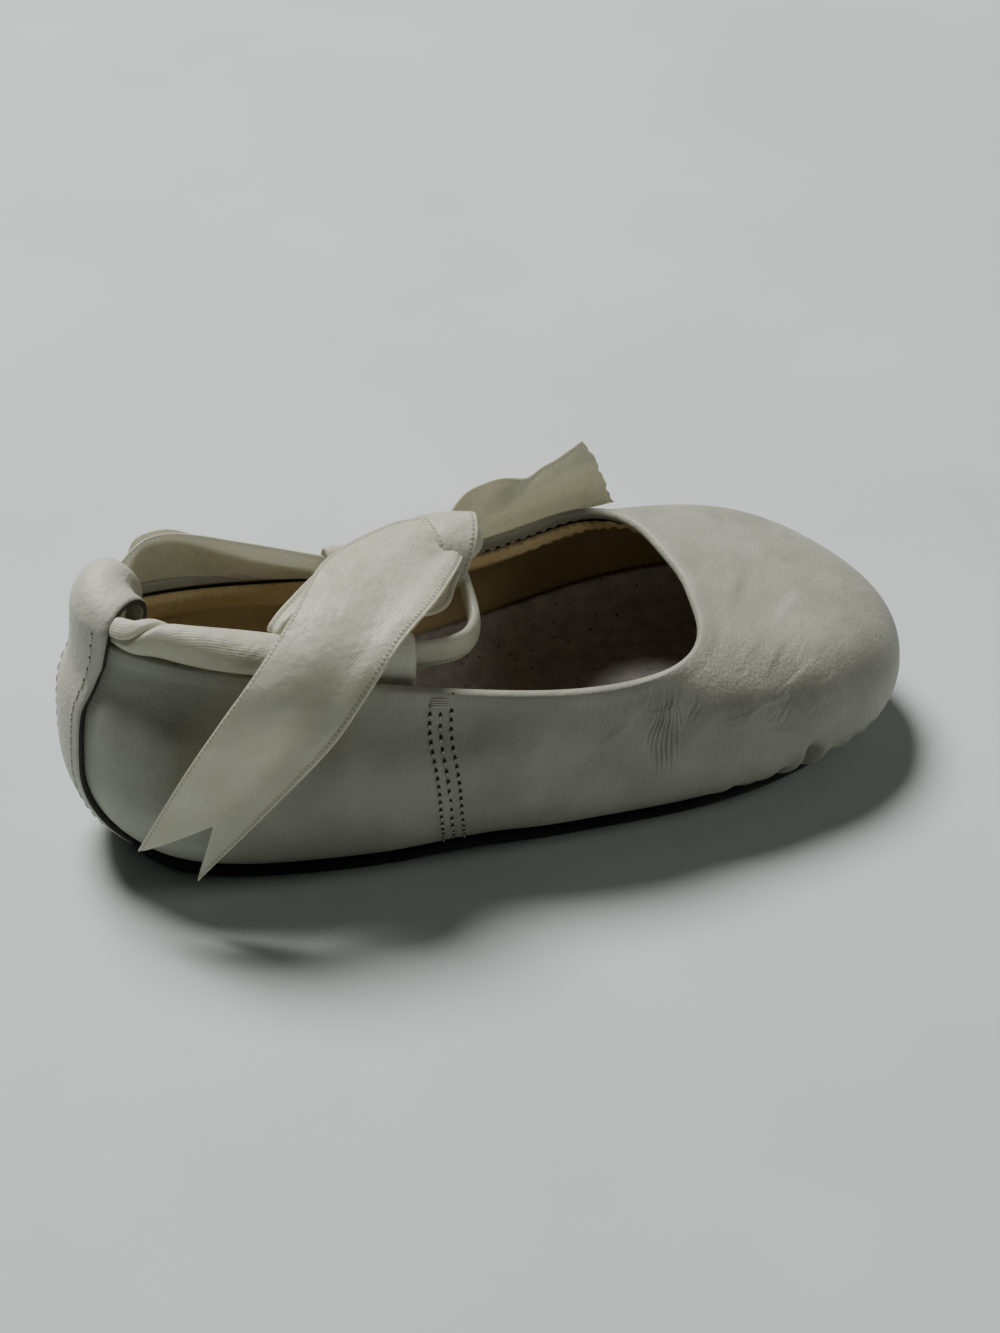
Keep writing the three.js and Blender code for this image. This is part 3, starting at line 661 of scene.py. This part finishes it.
def sewn(name, rows, gape=1.0):
    """Stitches along rows of (spots, outward normals, pitch, length): a thread between two needle holes,
    which gape more or less as the leather is pulled. Each hole is a flat dark disc over the leather, painted
    shade for the hole."""
    points, faces, look = [], [], []
    turn = np.linspace(0, 2 * math.pi, THREAD_SIDES + 1)[:-1]
    for spots, out, pitch, length in rows:
        walk = walked(spots)

        def at(distance, values):
            return np.array([np.interp(distance, walk, values[:, k]) for k in range(3)])

        for middle in np.arange(pitch / 2, walk[-1], pitch):
            ahead = unit(at(middle + 0.2, spots) - at(middle - 0.2, spots))
            lift = unit(at(middle, out))
            side = np.cross(ahead, lift)
            first = len(points)
            for t in np.linspace(-1, 1, THREAD_RINGS):
                thick = THREAD * (0.35 + 0.65 * math.sqrt(max(0.0, 1 - t**4)))
                spine = at(middle, spots) + ahead * (t * length / 2) + lift * (0.10 * (1 - t * t) - 0.06)
                points.extend(spine + thick * (np.cos(a) * side + np.sin(a) * lift) for a in turn)
            last = len(points) - 1
            made = net(THREAD_RINGS, THREAD_SIDES, wrap_columns=True, start=first)
            made.append(tuple(range(first, first + THREAD_SIDES)))
            made.append(tuple(range(last, last - THREAD_SIDES, -1)))
            faces += made
            look += [0] * len(made)
            if gape == 0:
                continue
            hole = at(middle + length / 2 + 0.04, spots) + lift * 0.07
            wide, long = gape * HOLE_WIDE * side, gape * HOLE_LONG * ahead
            faces.append(tuple(range(len(points), len(points) + THREAD_SIDES)))
            points.extend(hole + np.cos(a) * wide + np.sin(a) * long for a in turn)
            look.append(1)
    return piece(name, points, faces, [thread, needle_hole_shade], look)


def seam_rows(seam):
    rows = []
    v = np.linspace(0.02, 1.0, 60)
    join = seam(v)
    for off, pitch, length, lift in SEAM_ROWS:
        at = join + off / pace(join, v)
        rows.append((on_wall(at, v, lift), wall_normal(at, v), pitch, length))
    return rows


def tack_rows(seam):
    """The bar tack: short threads across the top of the join."""
    rows = []
    for v in TACK_AT:
        at = seam(v) + np.linspace(-TACK_WIDTH / 2, TACK_WIDTH / 2, 7) / MEAN_PACE
        rows.append((on_wall(at, v, TACK_LIFT), wall_normal(at, v), TACK_WIDTH, TACK_THREAD))
    return rows


seam_sewing = sewn("side_seam_sewing", seam_rows(outer_seam) + seam_rows(inner_seam))
seam_tack = sewn("side_seam_tack", tack_rows(outer_seam) + tack_rows(inner_seam), gape=0)

u = np.linspace(0.17, 0.83, 420)
rim_at, rim_out = wall(u, 1.0), wall_normal(u, 1.0)
up = unit(wall(u, 1.0) - wall(u, 0.995))
groove = rim_at - up * TOPLINE_DROP - rim_out * (WALL - 0.1)
topline_sewing = sewn("topline_sewing", [(groove, -rim_out, TOPLINE_PITCH, TOPLINE_STITCH)], gape=0.8)


# The back strip: a strip of the same leather sewn up the heel, its cut edges left raw and dark, and coloured
# lighter than the upper as painted light. Over the topline it turns into a loop for the ribbon and is sewn
# down inside.
STRIP_THICK, STRIP_WIDTH = 1.2, 13.5
LOOP_DROOP, EDGE_ROUND = 2.4, 0.3
STRIP_PITCH, STRIP_STITCH, STRIP_ROWS = 2.3, 1.7, (0.13, 0.87)
STRIP_FOOT, STRIP_EASE, STRIP_RIM, STRIP_TURN = 0.03, 0.8, 0.93, 0.6
# The way of the strip over the topline: millimetres out of the collar line and above it
HEEL_LOOP = np.array([
    (1.2, 2.0), (0.8, 4.4), (-0.9, 6.8), (-3.8, 7.5), (-6.6, 6.2),
    (-7.8, 3.2), (-6.4, -1.0), (-4.0, -5.0), (-3.2, -10.0),
])


def through(stops, t):
    """A smooth curve through the stops, at shares t of the way along them."""
    stops = np.asarray(stops, float)
    padded = np.concatenate([[2 * stops[0] - stops[1]], stops, [2 * stops[-1] - stops[-2]]])
    place = np.clip(np.asarray(t, float), 0, 1) * (len(stops) - 1)
    i = np.minimum(place.astype(int), len(stops) - 2)
    f = (place - i)[..., None]
    a, b, c, d = (padded[i + k] for k in range(4))
    return 0.5 * (2 * b + (c - a) * f + (2 * a - 5 * b + 4 * c - d) * f**2 + (3 * b - a - 3 * c + d) * f**3)


def across_wall(u, v, width, share):
    """The station at a share of the width of a band, whose middle lies at station u."""
    return u + (share - 0.5) * width / pace(u, v)


def over_collar(profile, t, u, lift):
    """A point of a band bent over the collar, lifted from its middle towards the outside of the bend."""
    spot = through(profile, t)
    before, after = np.maximum(t - SLOPE_STEP, 0), np.minimum(t + SLOPE_STEP, 1)
    ahead = unit(through(profile, after) - through(profile, before))
    collar, out = wall(u, 1.0), plan_normal(u)
    reach = spot[..., 0] + ahead[..., 1] * lift
    height = spot[..., 1] - ahead[..., 0] * lift
    return collar + np.concatenate([out * reach[..., None], height[..., None]], -1)


def band_section(many):
    """Shares of a band's width, its face and how far it is rounded off, once round its section."""
    share = np.linspace(0, 1, many)
    soft = np.exp(-share / 0.035) + np.exp(-(1 - share) / 0.035)
    under = [(w, 0.0, 0.0) for w in share]
    over = [(w, 1.0, r) for w, r in zip(share[::-1], soft[::-1])]
    return np.array(under + over)


def closed_faces(along, many):
    """Faces of a closed strip: each of its rings runs across one side of it and back across the other."""
    ring = 2 * many
    faces = net(along, ring, wrap_columns=True)
    last = (along - 1) * ring
    for j in range(many - 1):
        faces.append((j, j + 1, ring - 2 - j, ring - 1 - j))
        faces.append((last + j, last + ring - 1 - j, last + ring - 2 - j, last + j + 1))
    return faces


def band_piece(name, face, along, many, finishes):
    """A closed band from face(t, share, side, rounding), with the second finish on its cut edges."""
    section = band_section(many)
    t = np.linspace(0, 1, along)[:, None]
    grid = face(t, *section.T[:, None, :])
    faces = closed_faces(along, many)
    ring = 2 * many
    ends = (along - 1) * ring
    look = [int(k >= ends or k % ring in (many - 1, ring - 1)) for k in range(len(faces))]
    marks = {"soil_and_shade": np.repeat(0.55 * section[None, :, 2], along, 0)}
    return piece(name, grid, faces, finishes, look, marks)


def strip_face(t, share, side, rounding):
    t, share, side, rounding = np.broadcast_arrays(t, share, side, rounding)
    uneven = share + 0.012 * np.sin(t * 31) * (share - 0.5)
    lift = side * (STRIP_THICK - EDGE_ROUND * rounding)
    v = STRIP_FOOT + (STRIP_RIM - STRIP_FOOT) * np.minimum(t / STRIP_TURN, 1)
    u = across_wall(0 * v, v, STRIP_WIDTH, uneven)
    on_heel = on_wall(u, v, (GAP - 0.15 + 0.25 * ease(STRIP_EASE, STRIP_RIM, v) + lift)[..., None])
    u = across_wall(0 * v, 0 * v + 1, STRIP_WIDTH, uneven)
    turned = np.clip((t - STRIP_TURN) / (1 - STRIP_TURN), 0, 1)
    in_loop = over_collar(HEEL_LOOP, turned, u, lift - STRIP_THICK / 2)
    in_loop[..., 2] -= LOOP_DROOP * (share - 0.45) * np.sin(math.pi * np.clip(turned / 0.7, 0, 1))
    return np.where((t <= STRIP_TURN)[..., None], on_heel, in_loop)


raw_edge = finish(
    "raw_cut_edge",
    {"Specular IOR Level": 0.15},
    two_tone((0.028, 0.027, 0.025), (0.12, 0.115, 0.105), 0.5, 4, (0.85, 0.1), grain=0.7, height=0.3),
)
# The strap's finish is the upper's leather made lighter: painted light on the heel loop and the side loops.
strap_leather_painted_lighter = finish(
    "strap_leather_painted_lighter",
    {"Coat Weight": 0.06, "Coat Roughness": 0.4, "Specular IOR Level": 0.42},
    leather((0.44, 0.43, 0.355), (0.51, 0.50, 0.42), 0.75, (0.27, 0.255, 0.195)),
)
strip = band_piece("back_strip", strip_face, 150, 26, [strap_leather_painted_lighter, raw_edge])
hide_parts("heel_strip")

t = np.linspace(0.02, 0.62, 160)
rows = []
for share in STRIP_ROWS:
    line, lifted = (strip_face(t, share, side, 0) for side in (1, 2))
    rows.append((line, unit(lifted - line), STRIP_PITCH, STRIP_STITCH))
strip_sewing = sewn("back_strip_sewing", rows, gape=0.55)


# The side loops: two short straps of the leather, doubled over and sewn to the inside of the topline
# just behind each side seam, so that the ribbon runs through them.
KEEPER_WIDTH, KEEPER_THICK, KEEPER_STATION, INNER_HEIGHT = 7.4, 1.0, 0.175, 0.84
# The way of a loop: millimetres out of the collar line and above it
KEEPER_LOOP = np.array([
    (-2.9, -6.0), (-2.9, -2.0), (-2.8, 2.0), (-2.9, 5.8), (-4.2, 7.8),
    (-5.9, 6.6), (-6.3, 2.4), (-5.6, -1.4), (-4.5, -6.0),
])


def keeper_face(station):
    """The face of the loop at this station. On the inner side it stands lower."""
    profile = KEEPER_LOOP * (1, INNER_HEIGHT if station < 0 else 1)

    def face(t, share, side, rounding):
        t, share, side, rounding = np.broadcast_arrays(t, share, side, rounding)
        u = across_wall(station + 0 * t, 1 + 0 * t, KEEPER_WIDTH, share)
        lift = side * (KEEPER_THICK - EDGE_ROUND * rounding) - KEEPER_THICK / 2
        return over_collar(profile, t, u, lift)

    return face


pale_edge = finish(
    "pale_cut_edge",
    {"Specular IOR Level": 0.2},
    two_tone((0.30, 0.28, 0.22), (0.52, 0.49, 0.41), 0.5, 4, (0.8, 0.15), grain=0.7),
)
# The side loops take the strap's lighter finish, painted light.
for name, station in (("side_loop_outer", KEEPER_STATION), ("side_loop_inner", -KEEPER_STATION)):
    keeper = band_piece(name + "_leather", keeper_face(station), 80, 14, [strap_leather_painted_lighter, pale_edge])
    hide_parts(name)


# The ribbon: one length of ivory satin, 16 mm wide with a woven ladder edge. Folded lengthwise it runs
# through the side loops and the heel loop, standing on the topline, and its two strands meet in the bow.
RIBBON_WIDTH, RIBBON_THICK = 16.0, 0.4
WARP_PITCH, LADDER_PITCH = 0.42, 0.8
# Where the outer side loop, the heel loop and the inner one hold the band, as shares of its length
HELD_AT, HELD_WIDTH = (0.125, 0.531, 0.9375), 0.045
# Its rows: station, how far out of the collar line, lower and upper edge above it
BAND = [
    (0.175, -4.5, 0.9, 5.2),
    (0.135, -2.6, 0.8, 6.0),
    (0.09, -1.2, 0.7, 7.0),
    (0.05, -2.2, 0.7, 5.8),
    (0.0, -2.4, 0.7, 5.8),
    (-0.05, -2.3, 0.7, 5.9),
    (-0.09, -1.6, 1.2, 10.2),
    (-0.135, -2.8, 1.2, 7.6),
    (-0.175, -4.5, 1.0, 4.8),
]
# From the side loops to the knot: upper and lower edge
OUTER_STRAND = [
    ((-13.6, -15.6, 41.2), (-13.4, -15.6, 36.2)),
    ((-9.0, -12.4, 40.8), (-8.8, -12.4, 35.6)),
    ((-7.4, -8.2, 42.0), (-7.4, -8.0, 37.2)),
    ((-7.6, 0.0, 46.2), (-7.6, 0.0, 43.0)),
]
INNER_STRAND = [((-14.6, 9.0, 42.6), (-14.6, 9.2, 37.4)), ((-8.5, 1.5, 47.0), (-8.5, 1.5, 43.0))]


def satin_look(bare):
    along, across = bare.mark("along"), bare.mark("across")
    rim, matte_back_and_light = bare.mark("rim"), bare.mark("matte_back_and_light")
    warp = across.wave(WARP_PITCH)
    slub = bare.noise(1.6, 3, 0.6)
    crumple = bare.noise(4.5, 3, 0.55)
    cloud = bare.noise(9, 3).between(0.35, 0.68)
    ladder = along.wave(LADDER_PITCH).between(-0.2, 0.5)
    edge = 1 - rim.between(0.25, 0.5)
    row = rim.between(0.45, 0.6) * (1 - rim.between(1.0, 1.2))
    colour = cloud.tint((0.635, 0.63, 0.515), (0.715, 0.71, 0.605))
    colour = (edge * 0.7).tint(colour, (0.78, 0.73, 0.55))
    colour = (row * (1 - ladder) * 0.7).tint(colour, (0.30, 0.265, 0.18))
    # The matte back's colour. On the short end its mark is lowered on the roll and the upper fan as painted
    # light.
    colour = (matte_back_and_light * 0.6).tint(colour, (0.52, 0.48, 0.345))
    return {
        "Base Color": colour,
        "Roughness": 0.36 + slub * 0.12 + row * 0.2,
        "Normal": bare.bump(warp * 0.012 + slub * 0.05 + crumple * 0.75 + row * ladder * 0.12 + edge * 0.08),
    }


satin_gloss = {"Anisotropic": 0.35, "Sheen Weight": 0.12, "Specular IOR Level": 0.5}
satin = finish("ribbon_satin", satin_gloss, satin_look, sheer=(0.38, (0.92, 0.915, 0.82)))
satin_back = finish("ribbon_satin_back", satin_gloss, satin_look, sheer=(0.34, (0.86, 0.85, 0.71)))


def slopes(mid):
    """Steps along and across a grid of points, and its outward normals."""
    ahead, side = np.gradient(mid, axis=0), np.gradient(mid, axis=1)
    return ahead, side, unit(np.cross(ahead, side))


def ribbon(name, middle, along, many, back_and_painted_light=lambda s, w: 0 * s + 0 * w, cloth=satin):
    """A closed strip of ribbon: middle is its mid-surface over shares along it and across it, and the next
    argument says where its matte back shows, less where painted light is laid on."""
    s, w = np.linspace(0, 1, along)[:, None], np.linspace(0, 1, many)[None, :]
    mid = middle(s, w)
    ahead, side, out = slopes(mid)
    thin = RIBBON_THICK / 2 * (1 - 0.5 * (np.exp(-w / 0.03) + np.exp(-(1 - w) / 0.03)))[..., None]
    grid = np.concatenate([mid + out * thin, (mid - out * thin)[:, ::-1]], axis=1)
    walk = np.cumsum(np.linalg.norm(ahead, axis=-1), axis=0)
    from_side = np.cumsum(np.linalg.norm(side, axis=-1), axis=1)
    rim = np.minimum(from_side, from_side[:, -1:] - from_side)
    marks = {"along": walk, "across": from_side, "rim": rim, "matte_back_and_light": back_and_painted_light(s, w)}
    marks = {key: np.concatenate([mark, mark[:, ::-1]], axis=1) for key, mark in marks.items()}
    made = piece(name, grid, closed_faces(along, many), [cloth], marks=marks)
    return made


def between_edges(rows):
    """A flat strip between smooth curves through its upper and lower edge."""
    upper_edge, lower_edge = (np.array([row[k] for row in rows], float) for k in (0, 1))

    def middle(s, w):
        s, w = np.broadcast_arrays(s, w)
        return through(upper_edge, s) * (1 - w)[..., None] + through(lower_edge, s) * w[..., None]

    return middle


def band_rows():
    rows = []
    for u, out, low, high in through(BAND, np.linspace(0, 1, 27)):
        spot = wall(u, 1.0) + np.append(plan_normal(np.array(u)) * out, 0)
        rows.append((spot + (0, 0, high), spot + (0, 0, low)))
    return rows


strand_rows = OUTER_STRAND[::-1] + band_rows() + INNER_STRAND
flat_band = between_edges(strand_rows)


def folded_band(s, w):
    """The ribbon folded lengthwise. On the outer side it is a soft roll, its two selvedges down on the
    topline. Through the heel loop it turns over, and on the inner side the fold is below, one selvedge
    higher than the other."""
    s, w = np.broadcast_arrays(s, w)
    top, foot = flat_band(s, 0 * w), flat_band(s, 0 * w + 1)
    out = unit(np.cross(foot - top, np.gradient(top, axis=0)))
    loose = 1 - np.clip(sum(np.exp(-(((s - at) / HELD_WIDTH) ** 2)) for at in HELD_AT), 0, 1)
    puff = 0.55 + 1.8 * loose * (1 + 0.25 * np.sin(31 * s)) * ease(0.13, 0.22, s) + 0.3 * loose
    start = -70 + 150 * ease(0.335, 0.412, s)
    angle = np.radians(start + (250 - start) * w)
    roll_out = puff * np.cos(angle) + 0.5 * loose * np.sin(23 * s + 2) * np.sin(angle)
    roll_up = 0.5 + 0.5 * np.sin(angle)
    bulge = np.exp(-(((s - 0.405) / 0.028) ** 2)) - 0.5 * np.exp(-(((s - 0.462) / 0.02) ** 2))
    twist = np.exp(-(((w - 0.2 - 0.5 * ease(0.3, 0.475, s)) / 0.055) ** 2))
    twist = twist * ease(0.26, 0.31, s) * (1 - ease(0.47, 0.5, s))
    roll_out += (0.7 * bulge - twist) * np.cos(angle)
    roll_up += (0.12 * bulge - 0.17 * twist) * np.sin(angle)
    rise = ease(0.655, 0.705, s) * (1 - 0.65 * ease(0.745, 0.88, s))
    back, front = np.clip(1 - w / 0.5, 0, 1), np.clip((w - 0.5) / 0.5, 0, 1)
    fold_up = back**1.2 + rise * front
    fold_out = 0.35 * back - (0.35 + 0.9 * loose * np.sin(math.pi * 0.8 * front)) * front**0.5
    hang = np.clip(1 - w / 0.22, 0, 1) ** 1.5 * loose * ease(0.14, 0.24, s)
    roll_up -= 0.4 * hang
    roll_out += 0.5 * hang
    sag = (1 - np.abs(2 * w - 1)) ** 2 * loose * ease(0.62, 0.67, s)
    fold_up -= 0.3 * sag
    fold_out -= 1.5 * sag**0.5 * loose
    turned = ease(0.48, 0.58, s)
    swing = roll_out * (1 - turned) + fold_out * turned
    height = roll_up * (1 - turned) + fold_up * turned
    return foot + (top - foot) * height[..., None] + out * swing[..., None]


def inner_face(s, w):
    return 0.6 * ease(0.64, 0.68, s) * ease(0.5, 0.56, w)


band = ribbon("topline_ribbon", folded_band, 340, 44, back_and_painted_light=inner_face)
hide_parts("ribbon_band")


# The bow: the two strands are tied in one half bow, its knot over the throat, one loop lying back under
# the long end. The long end hangs over the outer side and is cut to a swallow tail; the short end lies up.
KNOT_SIZE, KNOT_CORE = np.array([10.5, 8.0, 9.0]), 0.74
KNOT_ALONG, KNOT_AROUND, KNOT_GIRTH = 40, 72, 24
TURN_INSET, ROLL_HEIGHT = 0.6, 2.6
TAIL_NOTCH, NOTCH_AT = 0.087, 0.62
# Each strip of the bow from the knot on: upper and lower edge
LONG_END = [
    ((-12.6, 4.2, 49.6), (-7.2, -2.8, 46.8)),
    ((-19.0, 2.0, 50.8), (-9.8, -7.2, 47.2)),
    ((-30.4, -4.2, 51.0), (-15.4, -14.4, 47.6)),
    ((-38.6, -14.6, 49.4), (-22.8, -20.8, 46.2)),
    ((-46.2, -21.0, 44.8), (-28.6, -24.6, 41.4)),
    ((-52.2, -23.4, 38.8), (-35.6, -26.8, 33.2)),
    ((-58.4, -23.6, 29.4), (-45.2, -27.0, 23.2)),
    ((-65.2, -21.6, 15.0), (-56.8, -25.2, 9.6)),
]
SHORT_END = [
    ((-8.0, 3.8, 49.6), (-5.0, 1.4, 45.0)),
    ((-3.6, 8.0, 50.2), (-3.2, 9.8, 39.0)),
    ((2.0, 12.4, 48.4), (0.2, 17.6, 33.0)),
    ((8.6, 16.6, 46.0), (7.6, 21.2, 30.6)),
    ((15.4, 20.9, 43.8), (17.4, 23.6, 30.4)),
    ((23.8, 27.2, 42.8), (29.9, 25.7, 29.9)),
]
BOW_LOOP = [
    ((-9.0, 2.2, 46.8), (-7.6, -2.4, 44.8)),
    ((-17.0, 1.6, 47.8), (-9.9, -7.6, 45.0)),
    ((-28.0, -1.0, 48.4), (-15.6, -14.6, 45.4)),
    ((-37.6, -8.2, 47.4), (-30.4, -13.0, 45.6)),
    ((-41.4, -11.2, 45.4), (-36.6, -13.2, 44.0)),
    ((-37.6, -8.4, 43.4), (-30.6, -12.6, 42.2)),
    ((-27.6, -1.4, 43.2), (-19.0, -10.4, 41.2)),
    ((-17.0, 1.0, 43.4), (-13.0, -5.2, 41.4)),
    ((-9.0, 1.0, 44.2), (-8.0, -0.6, 42.9)),
]
# The turn of ribbon over the knot, full width on top and drawn together to a point below
HOOD = [
    ((-10.6, 7.0, 45.0), (-4.2, 6.4, 44.6)),
    ((-12.8, 5.4, 48.8), (-3.6, 4.6, 48.6)),
    ((-12.4, 2.4, 50.4), (-3.8, 1.4, 49.8)),
    ((-11.5, -1.8, 49.4), (-5.0, -2.2, 48.2)),
    ((-10.8, -4.4, 46.2), (-7.2, -4.7, 45.0)),
    ((-10.2, -5.2, 43.2), (-8.6, -5.2, 42.6)),
    ((-9.6, -4.0, 41.6), (-8.9, -4.0, 41.4)),
]


def waved(rows, waves, cut=lambda w: 1 + 0 * w):
    """A strip between its edges with soft lengthwise folds. cut gives, for each share across, how much of
    its length is left."""
    flat = between_edges(rows)

    def middle(s, w):
        s, w = np.broadcast_arrays(s * cut(w), w)
        mid = flat(s, w)
        rise = 0 * s
        for share, width, height, first, last in waves:
            rise = rise + height * np.exp(-(((w - share) / width) ** 2)) * (1 - ease(first, last, s))
        return mid + slopes(mid)[2] * rise[..., None]

    return middle


def swallow_tail(w):
    return 1 - TAIL_NOTCH * np.where(w < NOTCH_AT, w / NOTCH_AT, (1 - w) / (1 - NOTCH_AT)) ** 1.2


def ragged(w):
    return 1 - 0.035 * (w - 0.45) ** 2 - 0.003 * np.sin(w * 17) - 0.003 * np.sin(w * 41 + 1)


# Folds: share across the strip, width, height, and the shares along it where they start and end to fade
LONG_FOLDS = [
    (0.5, 0.4, 0.9, 0.0, 0.45), (0.86, 0.08, 0.35, 0.1, 0.9),
    (0.3, 0.25, 0.5, 0.5, 1.3), (0.7, 0.2, -0.35, 0.4, 1.2),
]
SHORT_FOLDS = [(0.75, 0.16, 0.5, 0.6, 1.5), (0.3, 0.14, -0.5, 0.7, 1.5)]
LOOP_FOLDS = [(0.3, 0.1, 0.95, 0.3, 1.8), (0.7, 0.1, -0.95, 0.3, 1.8), (0.5, 0.08, 0.7, 0.8, 1.8)]
HOOD_FOLDS = [(0.5, 0.42, 0.5, 0.4, 1.1)]
TURN_FOLDS = [(0.45, 0.3, 0.4, 0.6, 1.4), (0.6, 0.08, -0.25, 0.6, 1.4)]


def roll_share(s, w):
    """Where the short end is rolled over: the roll climbs from its lower edge at the knot to its upper."""
    centre = 0.9 - 0.8 * ease(0.1, 0.68, s)
    steep = np.where(w < centre, 0.17, 0.07)
    return np.exp(-(((w - centre) / steep) ** 2)) * ease(0.04, 0.2, s) * (1 - ease(0.55, 0.8, s))


def rolled(middle):
    def with_roll(s, w):
        s, w = np.broadcast_arrays(s, w)
        mid = middle(s, w)
        return mid - slopes(mid)[2] * (ROLL_HEIGHT * roll_share(s, w))[..., None]

    return with_roll


def fan_back_and_painted_light(s, w):
    """The short end shows its matte back, except on the roll and the upper half of its fan, which are painted
    lighter as painted light.
    """
    painted_light = 1.2 * roll_share(s, w) + 0.5 * ease(0.6, 0.75, s) * (1 - ease(0.3, 0.5, w))
    return np.clip(0.85 - painted_light, 0, 1)


long_end = ribbon("bow_long_end", waved(LONG_END, LONG_FOLDS, swallow_tail), 150, 44)
short_middle = rolled(waved(SHORT_END, SHORT_FOLDS, ragged))
short_end = ribbon("bow_short_end", short_middle, 110, 56, back_and_painted_light=fan_back_and_painted_light, cloth=satin_back)
bow_loop = ribbon("bow_loop", waved(BOW_LOOP, LOOP_FOLDS), 140, 36)
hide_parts("ribbon_tail_outer")
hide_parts("ribbon_tail_inner")
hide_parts("ribbon_bow_loop")


def knot_body(s, w):
    """The tied core: ribbon crushed into folds that run from one strand to the other."""
    turn, tilt = 2 * math.pi * w, math.pi * (0.03 + 0.94 * s)
    fold = 1 + 0.07 * np.sin(7 * turn + 2.2 * np.sin(3 * tilt)) * np.sin(tilt)
    reach = fold * np.sin(tilt)
    ball = np.stack([-np.cos(tilt) + 0 * turn, reach * np.cos(turn), reach * np.sin(turn)], -1)
    return KNOT_CENTRE + ball * KNOT_SIZE / 2 * KNOT_CORE


s, w = np.linspace(0, 1, KNOT_ALONG)[:, None], np.arange(KNOT_AROUND)[None, :] / KNOT_AROUND
girth = 0 * s + w * KNOT_GIRTH
marks = {"along": girth, "across": 0 * w + s * KNOT_SIZE[2], "rim": 3 + 0 * girth, "matte_back_and_light": 0 * girth}
faces = net(KNOT_ALONG, KNOT_AROUND, wrap_columns=True)
knot = piece("bow_knot", knot_body(s, w), faces, [satin], marks=marks)
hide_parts("ribbon_knot")


def slanted(w):
    """The hood ends short and aslant, tucked in under the knot."""
    return 0.74 + 0.2 * w


inner_turn = [tuple(spot + TURN_INSET * unit(KNOT_CENTRE - spot) for spot in row) for row in HOOD]
hood = ribbon("bow_hood", waved(HOOD, HOOD_FOLDS, slanted), 80, 36)
turn = ribbon("bow_turn", waved(inner_turn, TURN_FOLDS), 80, 30)


# The studio: a plain pale floor under the sole, soft light from above and behind as in the photograph,
# and the camera at the photograph's angle to the shoe, drawn in until the one shoe fills the frame.
CAMERA_AT = Vector((-126.0, -348.8, 317.9)) * MM
CAMERA_AIM = Vector((1.0, -3.0, 21.0)) * MM
LENS, CAMERA_ROLL = 78, math.radians(2.6)
FLOOR_REACH, FLOOR_DROP = 2.0, 0.0001


def floor_look(bare):
    mottle = bare.noise(60, 3).between(0.3, 0.7)
    colour = mottle.tint((0.52, 0.57, 0.557), (0.56, 0.61, 0.597))
    return {"Base Color": colour, "Roughness": 0.6 + mottle * 0.1}


floor_mesh = bpy.data.meshes.new("floor")
corners = [(x * FLOOR_REACH, y * FLOOR_REACH, 0) for x, y in ((-1, -1), (1, -1), (1, 1), (-1, 1))]
floor_mesh.from_pydata(corners, [], [(0, 1, 2, 3)])
floor_mesh.materials.append(finish("pale_floor", {"Specular IOR Level": 0.2}, floor_look))
floor = bpy.data.objects.new("floor", floor_mesh)
floor.location.z = -FLOOR_DROP
bpy.context.collection.objects.link(floor)


def soft_light(name, spot, aim, size, watts, colour):
    lamp = bpy.data.lights.new(name, "AREA")
    lamp.shape = "DISK"
    lamp.size = size
    lamp.energy = watts
    lamp.color = colour
    made = bpy.data.objects.new(name, lamp)
    made.location = spot
    made.rotation_euler = (Vector(aim) - Vector(spot)).to_track_quat("-Z", "Y").to_euler()
    bpy.context.collection.objects.link(made)


soft_light("window", (-0.22, 0.54, 1.05), (0, 0, 0.02), 0.5, 22.5, (1.0, 0.995, 0.97))
soft_light("fill", (0.95, -0.45, 0.8), (0, 0, 0.02), 0.4, 2.2, (1.0, 0.98, 0.94))
world = bpy.data.worlds.new("room")
world.use_nodes = True
sky = world.node_tree.nodes["Background"]
sky.inputs["Color"].default_value = (0.86, 0.92, 0.95, 1)
sky.inputs["Strength"].default_value = 0.02
bpy.context.scene.world = world

camera = bpy.data.objects.new("camera", bpy.data.cameras.new("camera"))
camera.data.sensor_width = 36
camera.data.lens = LENS
camera.location = CAMERA_AT
aimed = (CAMERA_AIM - CAMERA_AT).to_track_quat("-Z", "Y")
camera.rotation_euler = (aimed @ Quaternion((0, 0, 1), CAMERA_ROLL)).to_euler()
bpy.context.collection.objects.link(camera)
bpy.context.scene.camera = camera
